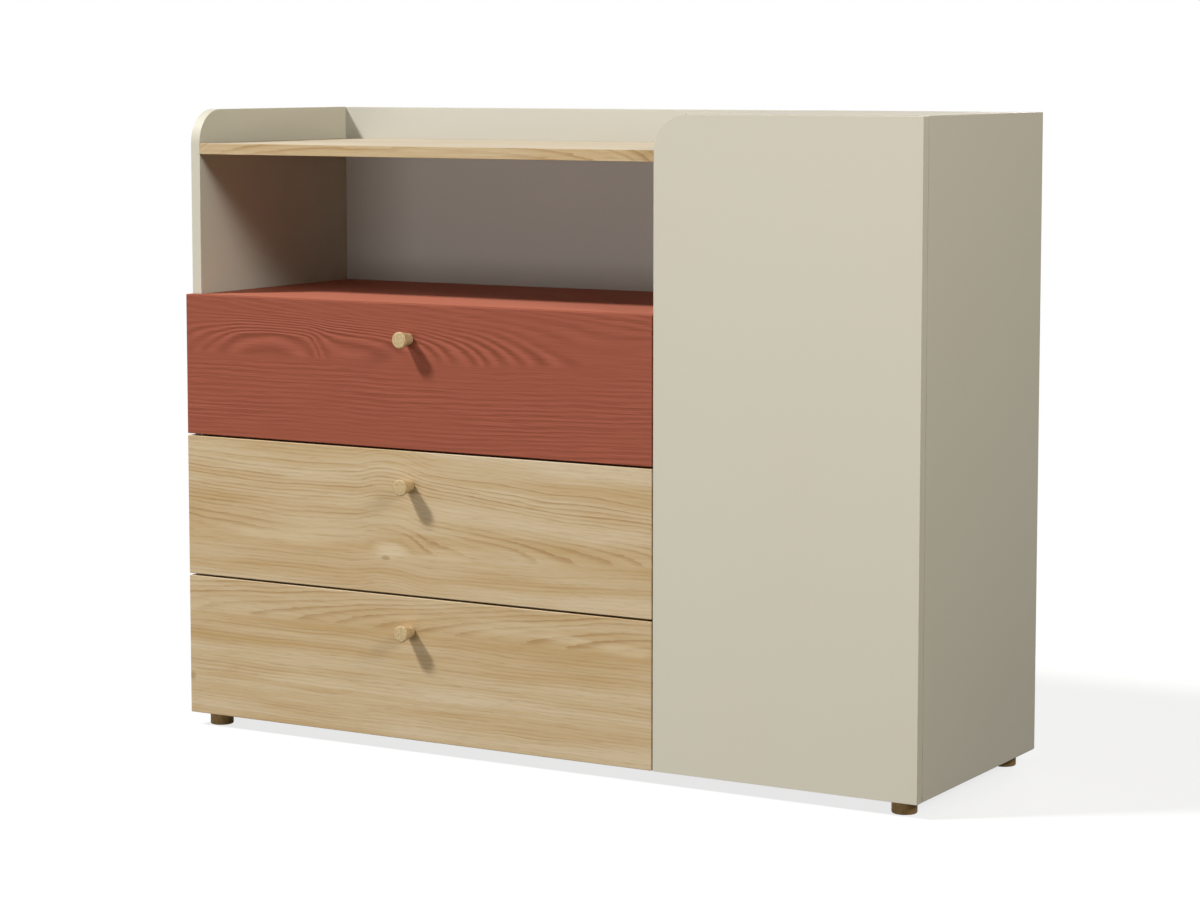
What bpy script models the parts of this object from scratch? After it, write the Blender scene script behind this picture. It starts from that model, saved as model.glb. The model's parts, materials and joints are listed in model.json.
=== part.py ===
"""A chest of three drawers under an oak shelf and an open niche, beside a tall cupboard.

Metres, +Z up. The fronts face -Y, and the cupboard is on the right, at +X.
The origin is on the floor, under the middle of the whole object.
"""
import math

import bmesh
import bpy
from mathutils import Matrix, Vector

MM = 0.001

# Body
WIDTH = 1200 * MM
DEPTH = 400 * MM  # face of the fronts to the back
BODY_HEIGHT = 906 * MM  # without the feet
BOARD = 16 * MM
EDGE_EASE = 0.8 * MM
CORNER_RADIUS = 50 * MM
UPSTAND = 50 * MM  # rim above the oak shelf
NICHE_HEIGHT = 208 * MM
BACK_SHEET = 5 * MM
BACK_REBATE = 8 * MM
FIT = 0.3 * MM  # between pieces that touch
SHELF_SETBACK = 20 * MM

# Feet
FOOT_HEIGHT = 20 * MM
FOOT_RADIUS = 17.5 * MM
FOOT_ROUNDING = 2 * MM
FOOT_INSET = 33 * MM  # centre of a foot, in from the outer faces

# Fronts and door
FRONT_BOARD = 16 * MM
FRONT_GAP = 3 * MM  # between two drawer fronts
DOOR_GAP = 2 * MM  # between the drawer fronts and the door
REST_GAP = 0.8 * MM  # between the fronts and the edges of the body
DOOR_WIDTH = 400 * MM
DOOR_DROP = 1 * MM  # top of the door under the top of the body

# Knobs
KNOB_LENGTH = 26 * MM
KNOB_FACE_RADIUS = 12 * MM
KNOB_BASE_RADIUS = 8 * MM
KNOB_ROUNDING = 2 * MM
KNOB_WAIST = 1.25  # above 1 the taper is hollow
KNOB_DROP = 50 * MM  # centre of the knob under the top of its front

# Drawer boxes
BOX_SIDE = 12 * MM
BOX_BACK = 12 * MM
BOX_BOTTOM = 4 * MM
BOX_HEADROOM = 16 * MM
BOX_FOOTROOM = 10 * MM
BOX_REAR_SPACE = 28 * MM
GROOVE_DEPTH = 6 * MM
GROOVE_LIFT = 12 * MM  # groove above the lower edge of the box

# Telescopic runners, three folded steel members one inside the other
RUNNER_SPACE = 12.5 * MM  # between the body and the drawer box
RUNNER_HEIGHT = 45 * MM
RUNNER_CLEAR = 1.6 * MM  # outer member to the drawer box
RUNNER_SHEET = 1.2 * MM
RUNNER_LIP = 1.6 * MM
RUNNER_PLAY = 0.4 * MM
RUNNER_LIFT = 60 * MM  # middle of the runner above the lower edge of the box
RUNNER_SETBACK = 3 * MM

# Cup hinges
HINGE_INSET = 100 * MM  # from the ends of the door
CUP_RADIUS = 17.5 * MM
CUP_SKIN = 3.5 * MM  # left of the door under a cup
CUP_WALL = 1 * MM
CUP_RIM = 1 * MM
CUP_EDGE = 3 * MM  # cup to the edge of the door
CUP_PIVOT_EDGE = 8 * MM  # pivot in the cup to the edge of the door
CUP_PIVOT_SINK = 3.5 * MM  # pivot in the cup under the back of the door
ARM_PIVOT_SINK = 4.5 * MM  # pivot on the arm under the back of the door
LINK_SPAN = 18 * MM  # between the two pivots, across
LINK_CLEAR = 0.7 * MM  # link to the floor of the cup
LINK_WIDTH = 10 * MM
HUB_RADIUS = 2.4 * MM
PIN_RADIUS = 1.2 * MM
PIN_PLAY = 0.3 * MM
EAR = 2.5 * MM
ARM_NOSE_RADIUS = 3.2 * MM
ARM_NECK = 12 * MM
ARM_SHOULDER = 6 * MM
ARM_LENGTH = 62 * MM
ARM_TAPER = 20 * MM
ARM_TAIL = 6 * MM  # thickness of the arm at its rear end
FORK_DEPTH = 5 * MM  # fork behind its pivot
PLATE_THICKNESS = 2.5 * MM
PLATE_LENGTH = 52 * MM
PLATE_WIDTH = 16 * MM
PLATE_SETBACK = 37 * MM  # middle of the plate behind the edge of the side
PLATE_SKIRT = 0.5 * MM  # plate proud of the arm, towards the side

# Push latch of the door
LATCH_LENGTH = 60 * MM
LATCH_SECTION = 13 * MM
LATCH_SETBACK = 1.5 * MM
LATCH_INSET = 30 * MM  # right of the rounded corner
PLUNGER_RADIUS = 4 * MM
PLUNGER_LENGTH = 34 * MM
PLUNGER_NOSE = 1.5 * MM
PLUNGER_STROKE = 2.5 * MM

# Facets
CORNER_STEPS = 16
ROUND_STEPS = 24
CUP_STEPS = 32
BEND_STEPS = 8
NOSE_STEPS = 4
EASE_ANGLE = math.radians(60)  # edges sharper than this are eased
SMOOTH_ANGLE = math.radians(35)  # folds below this are shaded round
WELD = 0.01 * MM  # points closer than this are one point

DRAWERS = ("lower_drawer", "middle_drawer", "upper_drawer")

# Reference planes
LEFT = -WIDTH / 2
RIGHT = WIDTH / 2
BACK = (DEPTH + KNOB_LENGTH) / 2
FACE = BACK - DEPTH
BASE = FOOT_HEIGHT
TOP = BASE + BODY_HEIGHT
FRONT_REAR = FACE + FRONT_BOARD
BODY_FRONT = FRONT_REAR + REST_GAP
BODY_REAR = BACK - BACK_SHEET - FIT
SHELF_TOP = TOP - UPSTAND
NICHE_FLOOR = SHELF_TOP - BOARD - NICHE_HEIGHT
DOOR_LEFT = RIGHT - DOOR_WIDTH
FRONTS_RIGHT = DOOR_LEFT - DOOR_GAP
DIVIDER_LEFT = DOOR_LEFT - DOOR_GAP / 2 - BOARD / 2
DIVIDER_RIGHT = DIVIDER_LEFT + BOARD
POST_RIGHT = DIVIDER_LEFT + CORNER_RADIUS
POST_FOOT = TOP - CORNER_RADIUS
FRONT_HEIGHT = (NICHE_FLOOR - BASE - (len(DRAWERS) - 1) * FRONT_GAP) / len(DRAWERS)
BOX_HEIGHT = FRONT_HEIGHT - 2 * BOARD - BOX_HEADROOM - BOX_FOOTROOM
BOX_LEFT = LEFT + BOARD + RUNNER_SPACE + 2 * FIT
BOX_RIGHT = DIVIDER_LEFT - RUNNER_SPACE - 2 * FIT
BOX_FRONT = FRONT_REAR + FIT
BOX_REAR = BODY_REAR - BOX_REAR_SPACE
CUP_PIVOT = Vector((RIGHT - CUP_PIVOT_EDGE, FRONT_REAR - CUP_PIVOT_SINK, BASE))
ARM_PIVOT = Vector((CUP_PIVOT.x - LINK_SPAN, FRONT_REAR - ARM_PIVOT_SINK, BASE))
CUP_X = RIGHT - CUP_EDGE - CUP_RADIUS
CUP_DEPTH = FRONT_BOARD - CUP_SKIN
LINK_SAG = CUP_DEPTH - CUP_WALL - LINK_CLEAR - HUB_RADIUS - (CUP_PIVOT_SINK + ARM_PIVOT_SINK) / 2
RUNNER_REACH = RUNNER_SPACE - RUNNER_CLEAR
HINGE_LEVELS = {"lower": BASE + HINGE_INSET, "upper": TOP - DOOR_DROP - HINGE_INSET}

# How an outline lies: flat, facing the front, or facing the side
FLAT = (0, 0, 0)
FACING_FRONT = (math.pi / 2, 0, 0)
FACING_SIDE = (math.pi / 2, 0, math.pi / 2)


def clear_scene():
    """Remove every object of the open scene."""
    for thing in list(bpy.data.objects):
        bpy.data.objects.remove(thing, do_unlink=True)


def new_collection(name):
    """A collection linked to the scene."""
    group = bpy.data.collections.new(name)
    bpy.context.scene.collection.children.link(group)
    return group


def new_finish(name, colour, roughness, metallic=0.0):
    """A material with one colour, roughness and metallic value."""
    material = bpy.data.materials.new(name)
    material.use_nodes = True
    shader = material.node_tree.nodes["Principled BSDF"]
    shader.inputs["Base Color"].default_value = (*colour, 1)
    shader.inputs["Roughness"].default_value = roughness
    shader.inputs["Metallic"].default_value = metallic
    return material


clear_scene()
PARTS = new_collection("chest_of_drawers")
CUTTERS = new_collection("cutters")

GREIGE = new_finish("greige_lacquer", (0.60, 0.56, 0.47), 0.55)
TERRACOTTA = new_finish("terracotta_lacquer", (0.30, 0.095, 0.060), 0.55)
OAK = new_finish("oak_veneer", (0.50, 0.36, 0.19), 0.5)
TURNED_OAK = new_finish("turned_oak", (0.60, 0.44, 0.25), 0.45)
FOOT_BROWN = new_finish("brown_foot", (0.16, 0.10, 0.045), 0.5)
DRAWER_BOARD = new_finish("drawer_board", (0.62, 0.58, 0.50), 0.6)
STEEL = new_finish("zinc_plated_steel", (0.55, 0.55, 0.56), 0.35, 1.0)
NICKEL = new_finish("nickel_plated_steel", (0.60, 0.58, 0.55), 0.25, 1.0)
LATCH_GREY = new_finish("grey_plastic", (0.25, 0.25, 0.25), 0.5)


def new_carrier(name, place):
    """An empty that carries the pieces of one moving body."""
    carrier = bpy.data.objects.new(name, None)
    carrier.location = place
    PARTS.objects.link(carrier)
    return carrier


def add_piece(name, mesh, finish, carrier, place, turn=FLAT):
    """Put a mesh in the world on its carrier; without a finish it is a cutter."""
    piece = bpy.data.objects.new(name, mesh)
    piece.parent = carrier
    piece.location = Vector(place) - carrier.location
    piece.rotation_euler = turn
    if finish is None:
        CUTTERS.objects.link(piece)
        piece.hide_render = True
        piece.display_type = "WIRE"
    else:
        PARTS.objects.link(piece)
        mesh.materials.append(finish)
    return piece


def ease_edges(piece):
    """Take the sharpness off a board's edges."""
    bevel = piece.modifiers.new("eased_edges", "BEVEL")
    bevel.width = EDGE_EASE
    bevel.segments = 1
    bevel.limit_method = "ANGLE"
    bevel.angle_limit = EASE_ANGLE


def combine(piece, tool, operation):
    """Cut a tool out of a piece, or join it on."""
    change = piece.modifiers.new(tool.name, "BOOLEAN")
    change.operation = operation
    change.solver = "EXACT"
    change.object = tool


def block(name, low, high, finish, carrier):
    """A box between two corners."""
    size = Vector(high) - Vector(low)
    mesh = bpy.data.meshes.new(name)
    shape = bmesh.new()
    bmesh.ops.create_cube(shape, size=1, matrix=Matrix.Diagonal((*size, 1)))
    shape.to_mesh(mesh)
    shape.free()
    return add_piece(name, mesh, finish, carrier, (Vector(low) + Vector(high)) / 2)


def board(name, low, high, finish, carrier):
    """A straight board between two corners, with eased edges."""
    piece = block(name, low, high, finish, carrier)
    ease_edges(piece)
    return piece


def rod(name, radius, length, finish, carrier, place, turn=FLAT):
    """A round bar about its middle, along Z unless it is turned."""
    mesh = bpy.data.meshes.new(name)
    shape = bmesh.new()
    bmesh.ops.create_cone(
        shape, cap_ends=True, segments=ROUND_STEPS, radius1=radius, radius2=radius, depth=length,
    )
    shape.to_mesh(mesh)
    shape.free()
    return add_piece(name, mesh, finish, carrier, place, turn)


def smooth(mesh):
    """Shade the round faces smooth and keep the corners sharp."""
    mesh.shade_smooth()
    mesh.set_sharp_from_angle(angle=SMOOTH_ANGLE)


def extrusion(name, outlines, thickness, finish, carrier, place, turn):
    """A flat outline, with any holes, given a thickness to both sides of its plane."""
    curve = bpy.data.curves.new(name, "CURVE")
    curve.dimensions = "2D"
    curve.fill_mode = "BOTH"
    curve.extrude = thickness / 2
    for outline in outlines:
        spline = curve.splines.new("POLY")
        spline.points.add(len(outline) - 1)
        spline.use_cyclic_u = True
        for point, (across, up) in zip(spline.points, outline):
            point.co = (across, up, 0, 1)
    sketch = bpy.data.objects.new(name + "_sketch", curve)
    bpy.context.scene.collection.objects.link(sketch)
    mesh = bpy.data.meshes.new_from_object(sketch.evaluated_get(bpy.context.evaluated_depsgraph_get()))
    bpy.data.objects.remove(sketch)
    shape = bmesh.new()
    shape.from_mesh(mesh)
    bmesh.ops.remove_doubles(shape, verts=shape.verts, dist=WELD)
    bmesh.ops.recalc_face_normals(shape, faces=shape.faces)
    shape.to_mesh(mesh)
    shape.free()
    mesh.name = name
    mesh.materials.clear()
    smooth(mesh)
    return add_piece(name, mesh, finish, carrier, place, turn)


def turned(name, profile, steps, finish, carrier, place, turn=FLAT):
    """A profile of (radius, height) points, from top to bottom, turned about Z."""
    mesh = bpy.data.meshes.new(name)
    points = [(radius, 0, height) for radius, height in profile]
    mesh.from_pydata(points, [(index, index + 1) for index in range(len(points) - 1)], [])
    piece = add_piece(name, mesh, finish, carrier, place, turn)
    screw = piece.modifiers.new("turned", "SCREW")
    screw.steps = steps
    screw.render_steps = steps
    screw.use_merge_vertices = True
    screw.merge_threshold = WELD
    screw.use_smooth_shade = True
    return piece


def arc(centre, radius, start, end, steps):
    """Points along an arc from one angle to another, in degrees."""
    angles = [math.radians(start + (end - start) * step / steps) for step in range(steps + 1)]
    return [(centre[0] + radius * math.cos(a), centre[1] + radius * math.sin(a)) for a in angles]


def folded_strip(path, sheet):
    """Outline of a thin sheet folded along a path of corners."""
    points = [Vector(point) for point in path]
    runs = [(end - start).normalized() for start, end in zip(points, points[1:])]
    first = []
    second = []
    for index, point in enumerate(points):
        before = runs[max(index - 1, 0)]
        after = runs[min(index, len(runs) - 1)]
        normal = Vector((-before.y, before.x)) + Vector((-after.y, after.x))
        offset = normal * sheet / (1 + before.dot(after)) / 2
        first.append(point + offset)
        second.append(point - offset)
    return [tuple(point) for point in first + second[::-1]]


def make_body(carrier):
    """The boards of the body, its back and its shelves."""
    depth = BACK - BODY_FRONT
    square = [(0, 0), (depth, 0), (depth, BODY_HEIGHT)]
    corner = arc((CORNER_RADIUS, BODY_HEIGHT - CORNER_RADIUS), CORNER_RADIUS, 90, 180, CORNER_STEPS)
    left_rebate = (LEFT + BOARD - BACK_REBATE, LEFT + 2 * BOARD)
    right_rebate = (RIGHT - 2 * BOARD, RIGHT - BOARD + BACK_REBATE)
    for name, middle, front_corner, rebate in (
        ("left_side_panel", LEFT + BOARD / 2, corner, left_rebate),
        ("right_side_panel", RIGHT - BOARD / 2, [(0, BODY_HEIGHT)], right_rebate),
    ):
        place = (middle, BODY_FRONT, BASE)
        side = extrusion(name, [square + front_corner], BOARD, GREIGE, carrier, place, FACING_SIDE)
        ease_edges(side)
        low = (rebate[0], BODY_REAR, BASE - BOARD)
        cutter = block(name + "_rebate", low, (rebate[1], BACK + BOARD, TOP + BOARD), None, carrier)
        combine(side, cutter, "DIFFERENCE")

    inner_left = LEFT + BOARD + FIT
    inner_right = RIGHT - BOARD - FIT
    board(
        "bottom_panel",
        (inner_left, BODY_FRONT, BASE), (inner_right, BODY_REAR, BASE + BOARD), GREIGE, carrier,
    )
    board(
        "divider_panel",
        (DIVIDER_LEFT, BODY_FRONT, BASE + BOARD + FIT),
        (DIVIDER_RIGHT, BODY_REAR, POST_FOOT - FIT), GREIGE, carrier,
    )
    for name, top, finish in (("oak_shelf", SHELF_TOP, OAK), ("niche_floor_panel", NICHE_FLOOR, TERRACOTTA)):
        low = (inner_left, BODY_FRONT, top - BOARD)
        board(name, low, (DIVIDER_LEFT - FIT, BODY_REAR, top), finish, carrier)
    board(
        "cabinet_top_panel",
        (POST_RIGHT + FIT, BODY_FRONT, TOP - BOARD), (inner_right, BODY_REAR, TOP), GREIGE, carrier,
    )
    board(
        "back_panel",
        (LEFT + BOARD - BACK_REBATE + FIT, BACK - BACK_SHEET, BASE),
        (RIGHT - BOARD + BACK_REBATE - FIT, BACK, TOP), GREIGE, carrier,
    )

    outer = arc((0, 0), CORNER_RADIUS, 90, 180, CORNER_STEPS)
    inner = arc((0, 0), CORNER_RADIUS - BOARD, 180, 90, CORNER_STEPS)
    middle = (POST_RIGHT, (BODY_FRONT + BODY_REAR) / 2, POST_FOOT)
    depth = BODY_REAR - BODY_FRONT
    post = extrusion("cabinet_corner_post", [outer + inner], depth, GREIGE, carrier, middle, FACING_FRONT)
    ease_edges(post)

    shelves = ("cabinet_shelf_lower", "cabinet_shelf_upper")
    clear = (BODY_HEIGHT - (2 + len(shelves)) * BOARD) / (len(shelves) + 1)
    for index, name in enumerate(shelves):
        under = BASE + BOARD + clear + index * (clear + BOARD)
        low = (DIVIDER_RIGHT + FIT, BODY_FRONT + SHELF_SETBACK, under)
        board(name, low, (inner_right, BODY_REAR, under + BOARD), GREIGE, carrier)


def make_feet(carrier):
    """Four short round feet under the bottom panel."""
    rounding = arc((FOOT_RADIUS - FOOT_ROUNDING, FOOT_ROUNDING), FOOT_ROUNDING, 0, -90, NOSE_STEPS)
    profile = [(0, FOOT_HEIGHT - FIT), (FOOT_RADIUS, FOOT_HEIGHT - FIT), *rounding, (0, 0)]
    for depth_name, y in (("front", FACE + FOOT_INSET), ("rear", BACK - FOOT_INSET)):
        for side_name, x in (("left", LEFT + FOOT_INSET), ("right", RIGHT - FOOT_INSET)):
            turned(f"foot_{depth_name}_{side_name}", profile, ROUND_STEPS, FOOT_BROWN, carrier, (x, y, 0))


def knob_profile():
    """A knob from its round-edged face down a hollow taper to its base."""
    length = KNOB_LENGTH - FIT
    shoulder = length - KNOB_ROUNDING
    profile = [(0, length)]
    profile += arc((KNOB_FACE_RADIUS - KNOB_ROUNDING, shoulder), KNOB_ROUNDING, 90, 0, NOSE_STEPS)
    flare = KNOB_FACE_RADIUS - KNOB_BASE_RADIUS
    for step in range(BEND_STEPS - 1, -1, -1):
        share = step / BEND_STEPS
        profile.append((KNOB_BASE_RADIUS + flare * share ** KNOB_WAIST, shoulder * share))
    return profile + [(0, 0)]


def make_drawer(name, under, carrier, finish):
    """A front with its knob and a grooved box behind it."""
    box_under = under + BOARD + BOX_FOOTROOM
    box_top = box_under + BOX_HEIGHT
    sheet_under = box_under + GROOVE_LIFT + FIT
    sheet_top = sheet_under + BOX_BOTTOM
    groove = (sheet_under - FIT, sheet_top + FIT)
    sheet_reach = GROOVE_DEPTH - FIT
    inner_left = BOX_LEFT + BOX_SIDE
    inner_right = BOX_RIGHT - BOX_SIDE

    front = board(
        name + "_front",
        (LEFT, FACE, under), (FRONTS_RIGHT, FRONT_REAR, under + FRONT_HEIGHT), finish, carrier,
    )
    front_groove = block(
        name + "_front_groove",
        (inner_left - GROOVE_DEPTH, FRONT_REAR - GROOVE_DEPTH, groove[0]),
        (inner_right + GROOVE_DEPTH, FRONT_REAR + BOARD, groove[1]), None, carrier,
    )
    combine(front, front_groove, "DIFFERENCE")
    for side_name, outer, inner in (("left", BOX_LEFT, inner_left), ("right", BOX_RIGHT, inner_right)):
        low = (min(outer, inner), BOX_FRONT, box_under)
        high = (max(outer, inner), BOX_REAR, box_top)
        side = board(f"{name}_{side_name}_side", low, high, DRAWER_BOARD, carrier)
        side_groove = block(
            f"{name}_{side_name}_groove",
            (inner - GROOVE_DEPTH, BOX_FRONT - BOARD, groove[0]),
            (inner + GROOVE_DEPTH, BOX_REAR + BOARD, groove[1]), None, carrier,
        )
        combine(side, side_groove, "DIFFERENCE")
    board(
        name + "_back",
        (inner_left + FIT, BOX_REAR - BOX_BACK, sheet_top + FIT),
        (inner_right - FIT, BOX_REAR, box_top), DRAWER_BOARD, carrier,
    )
    block(
        name + "_bottom",
        (inner_left - sheet_reach, FRONT_REAR - sheet_reach, sheet_under),
        (inner_right + sheet_reach, BOX_REAR, sheet_top), DRAWER_BOARD, carrier,
    )
    knob_place = ((LEFT + FRONTS_RIGHT) / 2, FACE - FIT, under + FRONT_HEIGHT - KNOB_DROP)
    turned(name + "_knob", knob_profile(), ROUND_STEPS, TURNED_OAK, carrier, knob_place, FACING_FRONT)


def runner_paths():
    """Fold lines of the three members, across from the body and up from the middle."""
    step = RUNNER_SHEET + RUNNER_PLAY
    web = RUNNER_SHEET / 2
    flange = RUNNER_HEIGHT / 2 - RUNNER_SHEET / 2
    lip = RUNNER_REACH - RUNNER_SHEET / 2
    drop = RUNNER_SHEET / 2 + RUNNER_LIP
    outer = [(lip, flange - drop), (lip, flange), (web, flange)]
    middle = [(lip - step, flange - step - drop), (lip - step, flange - step), (web + step, flange - step)]
    rail = flange - 2 * step
    neck = flange - step - drop - RUNNER_PLAY - RUNNER_SHEET / 2
    face = RUNNER_SPACE - RUNNER_SHEET / 2
    rail_edge = web + step + RUNNER_SHEET / 2 + RUNNER_PLAY
    inner = [(rail_edge, rail), (lip - 2 * step, rail), (lip - 2 * step, neck), (face, neck)]
    halves = {"outer": outer, "middle": middle, "inner": inner}
    return {name: half + [(x, -z) for x, z in reversed(half)] for name, half in halves.items()}


def make_runners(name, under, carriers):
    """The telescopic runners on both sides of a drawer; carriers holds one empty for each member."""
    level = under + BOARD + BOX_FOOTROOM + RUNNER_LIFT
    front = BODY_FRONT + RUNNER_SETBACK
    for side_name, face, inward in (("left", LEFT + BOARD + FIT, 1), ("right", DIVIDER_LEFT - FIT, -1)):
        for member, path in runner_paths().items():
            outline = folded_strip([(inward * x, z) for x, z in path], RUNNER_SHEET)
            place = (face, (front + BOX_REAR) / 2, level)
            runner = f"{name}_{side_name}_{member}_runner"
            extrusion(runner, [outline], BOX_REAR - front, STEEL, carriers[member], place, FACING_FRONT)


def cup_profile(clearance):
    """A hinge cup, open at the top, its rim level with the top; a clearance makes it the bore for one."""
    radius = CUP_RADIUS + clearance
    rim = radius + CUP_RIM
    sink = -CUP_RIM - clearance
    floor = -CUP_DEPTH - clearance
    if clearance:
        return [(0, BOARD), (rim, BOARD), (rim, sink), (radius, sink), (radius, floor), (0, floor)]
    hollow = radius - CUP_WALL
    shell = [(rim, 0), (rim, sink), (radius, sink), (radius, floor), (0, floor)]
    return [(0, floor + CUP_WALL), (hollow, floor + CUP_WALL), (hollow, 0), *shell]


def link_outlines():
    """A link sagging between two hubs, about the pivot on the arm, with its two pin holes."""
    start = Vector((0, 0))
    end = Vector((CUP_PIVOT.x - ARM_PIVOT.x, CUP_PIVOT.y - ARM_PIVOT.y))
    chord = (end - start).length
    radius = chord ** 2 / (8 * LINK_SAG) + LINK_SAG / 2
    across = (end - start).normalized()
    centre = (start + end) / 2 + Vector((-across.y, across.x)) * (radius - LINK_SAG)
    first = math.degrees(math.atan2(start.y - centre.y, start.x - centre.x))
    last = math.degrees(math.atan2(end.y - centre.y, end.x - centre.x))
    outline = arc(centre, radius + HUB_RADIUS, first, last, BEND_STEPS)
    outline += arc(end, HUB_RADIUS, last, last + 180, BEND_STEPS)[1:]
    outline += arc(centre, radius - HUB_RADIUS, last, first, BEND_STEPS)[1:]
    outline += arc(start, HUB_RADIUS, first + 180, first + 360, BEND_STEPS)[1:-1]
    hole = PIN_RADIUS + PIN_PLAY
    return [outline] + [arc(pivot, hole, 0, 360, 2 * BEND_STEPS)[:-1] for pivot in (start, end)]


def arm_outline():
    """A hinge arm from above, about its pivot: a round nose, a neck, a shoulder and a thinner tail."""
    face = RIGHT - BOARD - FIT - PLATE_SKIRT - ARM_PIVOT.x
    nose = arc((0, 0), ARM_NOSE_RADIUS, 180, 360, BEND_STEPS)
    back = [(ARM_NOSE_RADIUS, ARM_NECK), (face, ARM_NECK + ARM_SHOULDER), (face, ARM_LENGTH)]
    inside = [(face - ARM_TAIL, ARM_LENGTH), (-ARM_NOSE_RADIUS, ARM_LENGTH - ARM_TAPER)]
    return nose + back + inside


def make_hinge(name, level, body, links, door, door_panel):
    """A cup in the door, an arm on the side and the link between them."""
    half_fork = LINK_WIDTH / 2 + PIN_PLAY
    arm_width = 2 * (half_fork + EAR)
    arm_place = (ARM_PIVOT.x, ARM_PIVOT.y, level)
    arm = extrusion(f"hinge_arm_{name}", [arm_outline()], arm_width, NICKEL, body, arm_place, FLAT)
    fork = block(
        f"hinge_arm_{name}_fork",
        (ARM_PIVOT.x - BOARD, ARM_PIVOT.y - BOARD, level - half_fork),
        (ARM_PIVOT.x + BOARD, ARM_PIVOT.y + FORK_DEPTH, level + half_fork), None, body,
    )
    combine(arm, fork, "DIFFERENCE")
    plate_face = RIGHT - BOARD - FIT
    plate_middle = BODY_FRONT + PLATE_SETBACK
    plate = block(
        f"hinge_arm_{name}_plate",
        (plate_face - PLATE_THICKNESS, plate_middle - PLATE_WIDTH / 2, level - PLATE_LENGTH / 2),
        (plate_face, plate_middle + PLATE_WIDTH / 2, level + PLATE_LENGTH / 2), None, body,
    )
    combine(arm, plate, "UNION")
    arm_pin = rod(f"hinge_arm_{name}_pin", PIN_RADIUS, 2 * half_fork + EAR, None, body, arm_place)
    combine(arm, arm_pin, "UNION")

    extrusion(f"hinge_link_{name}", link_outlines(), LINK_WIDTH, NICKEL, links, arm_place, FLAT)

    cup_place = (CUP_X, FRONT_REAR, level)
    facing_back = (-math.pi / 2, 0, 0)
    cup = turned(f"hinge_cup_{name}", cup_profile(0), CUP_STEPS, NICKEL, door, cup_place, facing_back)
    hollow = CUP_RADIUS - CUP_WALL
    half_chord = math.sqrt(hollow ** 2 - (CUP_PIVOT.x + PIN_RADIUS - CUP_X) ** 2)
    pin_place = (CUP_PIVOT.x, CUP_PIVOT.y, level)
    pin = rod(f"hinge_cup_{name}_pin", PIN_RADIUS, 2 * half_chord + CUP_WALL, None, door, pin_place)
    combine(cup, pin, "UNION")
    bore = turned(f"hinge_cup_{name}_bore", cup_profile(FIT), CUP_STEPS, None, door, cup_place, facing_back)
    combine(door_panel, bore, "DIFFERENCE")


def make_door(body, links, door):
    """The door with one rounded corner, and its two hinges."""
    height = BODY_HEIGHT - DOOR_DROP
    corner = arc((CORNER_RADIUS, height - CORNER_RADIUS), CORNER_RADIUS, 90, 180, CORNER_STEPS)
    outline = [(0, 0), (DOOR_WIDTH, 0), (DOOR_WIDTH, height), *corner]
    place = (DOOR_LEFT, (FACE + FRONT_REAR) / 2, BASE)
    panel = extrusion("door_panel", [outline], FRONT_BOARD, GREIGE, door, place, FACING_FRONT)
    ease_edges(panel)
    for name, level in HINGE_LEVELS.items():
        make_hinge(name, level, body, links, door, panel)


def make_latch(body, plunger_carrier, axis_x, axis_z):
    """A push latch under the cabinet top, whose plunger meets the back of the door."""
    front = BODY_FRONT + LATCH_SETBACK
    half = LATCH_SECTION / 2
    housing = board(
        "push_latch_body",
        (axis_x - half, front, axis_z - half),
        (axis_x + half, front + LATCH_LENGTH, axis_z + half), LATCH_GREY, body,
    )
    tip = FRONT_REAR + FIT
    bore_rear = tip + PLUNGER_LENGTH + PLUNGER_STROKE + FIT
    bore_middle = (axis_x, (FRONT_REAR + bore_rear) / 2, axis_z)
    bore_length = bore_rear - FRONT_REAR
    bore = rod("push_latch_bore", PLUNGER_RADIUS + FIT, bore_length, None, body, bore_middle, FACING_FRONT)
    combine(housing, bore, "DIFFERENCE")
    nose_centre = (PLUNGER_RADIUS - PLUNGER_NOSE, PLUNGER_LENGTH - PLUNGER_NOSE)
    nose = arc(nose_centre, PLUNGER_NOSE, 90, 0, NOSE_STEPS)
    profile = [(0, PLUNGER_LENGTH), *nose, (PLUNGER_RADIUS, 0), (0, 0)]
    place = (axis_x, tip + PLUNGER_LENGTH, axis_z)
    turned("push_latch_plunger", profile, ROUND_STEPS, LATCH_GREY, plunger_carrier, place, FACING_FRONT)


def main():
    """Build the body, then the drawers on their runners, the door and its latch."""
    body = new_carrier("carcass", (0, 0, 0))
    make_body(body)
    make_feet(body)
    finishes = {"upper_drawer": TERRACOTTA}
    for index, name in enumerate(DRAWERS):
        under = BASE + index * (FRONT_HEIGHT + FRONT_GAP)
        drawer = new_carrier(name, ((LEFT + FRONTS_RIGHT) / 2, FACE, under))
        middle = new_carrier(name + "_runners", ((LEFT + FRONTS_RIGHT) / 2, BODY_FRONT, under))
        make_drawer(name, under, drawer, finishes.get(name, OAK))
        make_runners(name, under, {"outer": body, "middle": middle, "inner": drawer})
    links = new_carrier("hinge_links", ARM_PIVOT)
    door = new_carrier("door", CUP_PIVOT)
    make_door(body, links, door)
    latch_x = POST_RIGHT + LATCH_INSET
    latch_z = TOP - BOARD - FIT - LATCH_SECTION / 2
    plunger = new_carrier("latch_plunger", (latch_x, FRONT_REAR, latch_z))
    make_latch(body, plunger, latch_x, latch_z)


main()
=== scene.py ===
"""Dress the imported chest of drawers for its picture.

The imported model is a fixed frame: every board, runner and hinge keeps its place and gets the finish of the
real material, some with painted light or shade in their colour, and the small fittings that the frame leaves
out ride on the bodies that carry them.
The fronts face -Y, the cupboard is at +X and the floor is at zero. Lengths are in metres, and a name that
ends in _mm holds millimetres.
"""
from __future__ import annotations

import json
import logging
import math
from collections.abc import Mapping, Sequence
from dataclasses import dataclass
from enum import Enum
from functools import cache
from typing import Any, NamedTuple

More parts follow.
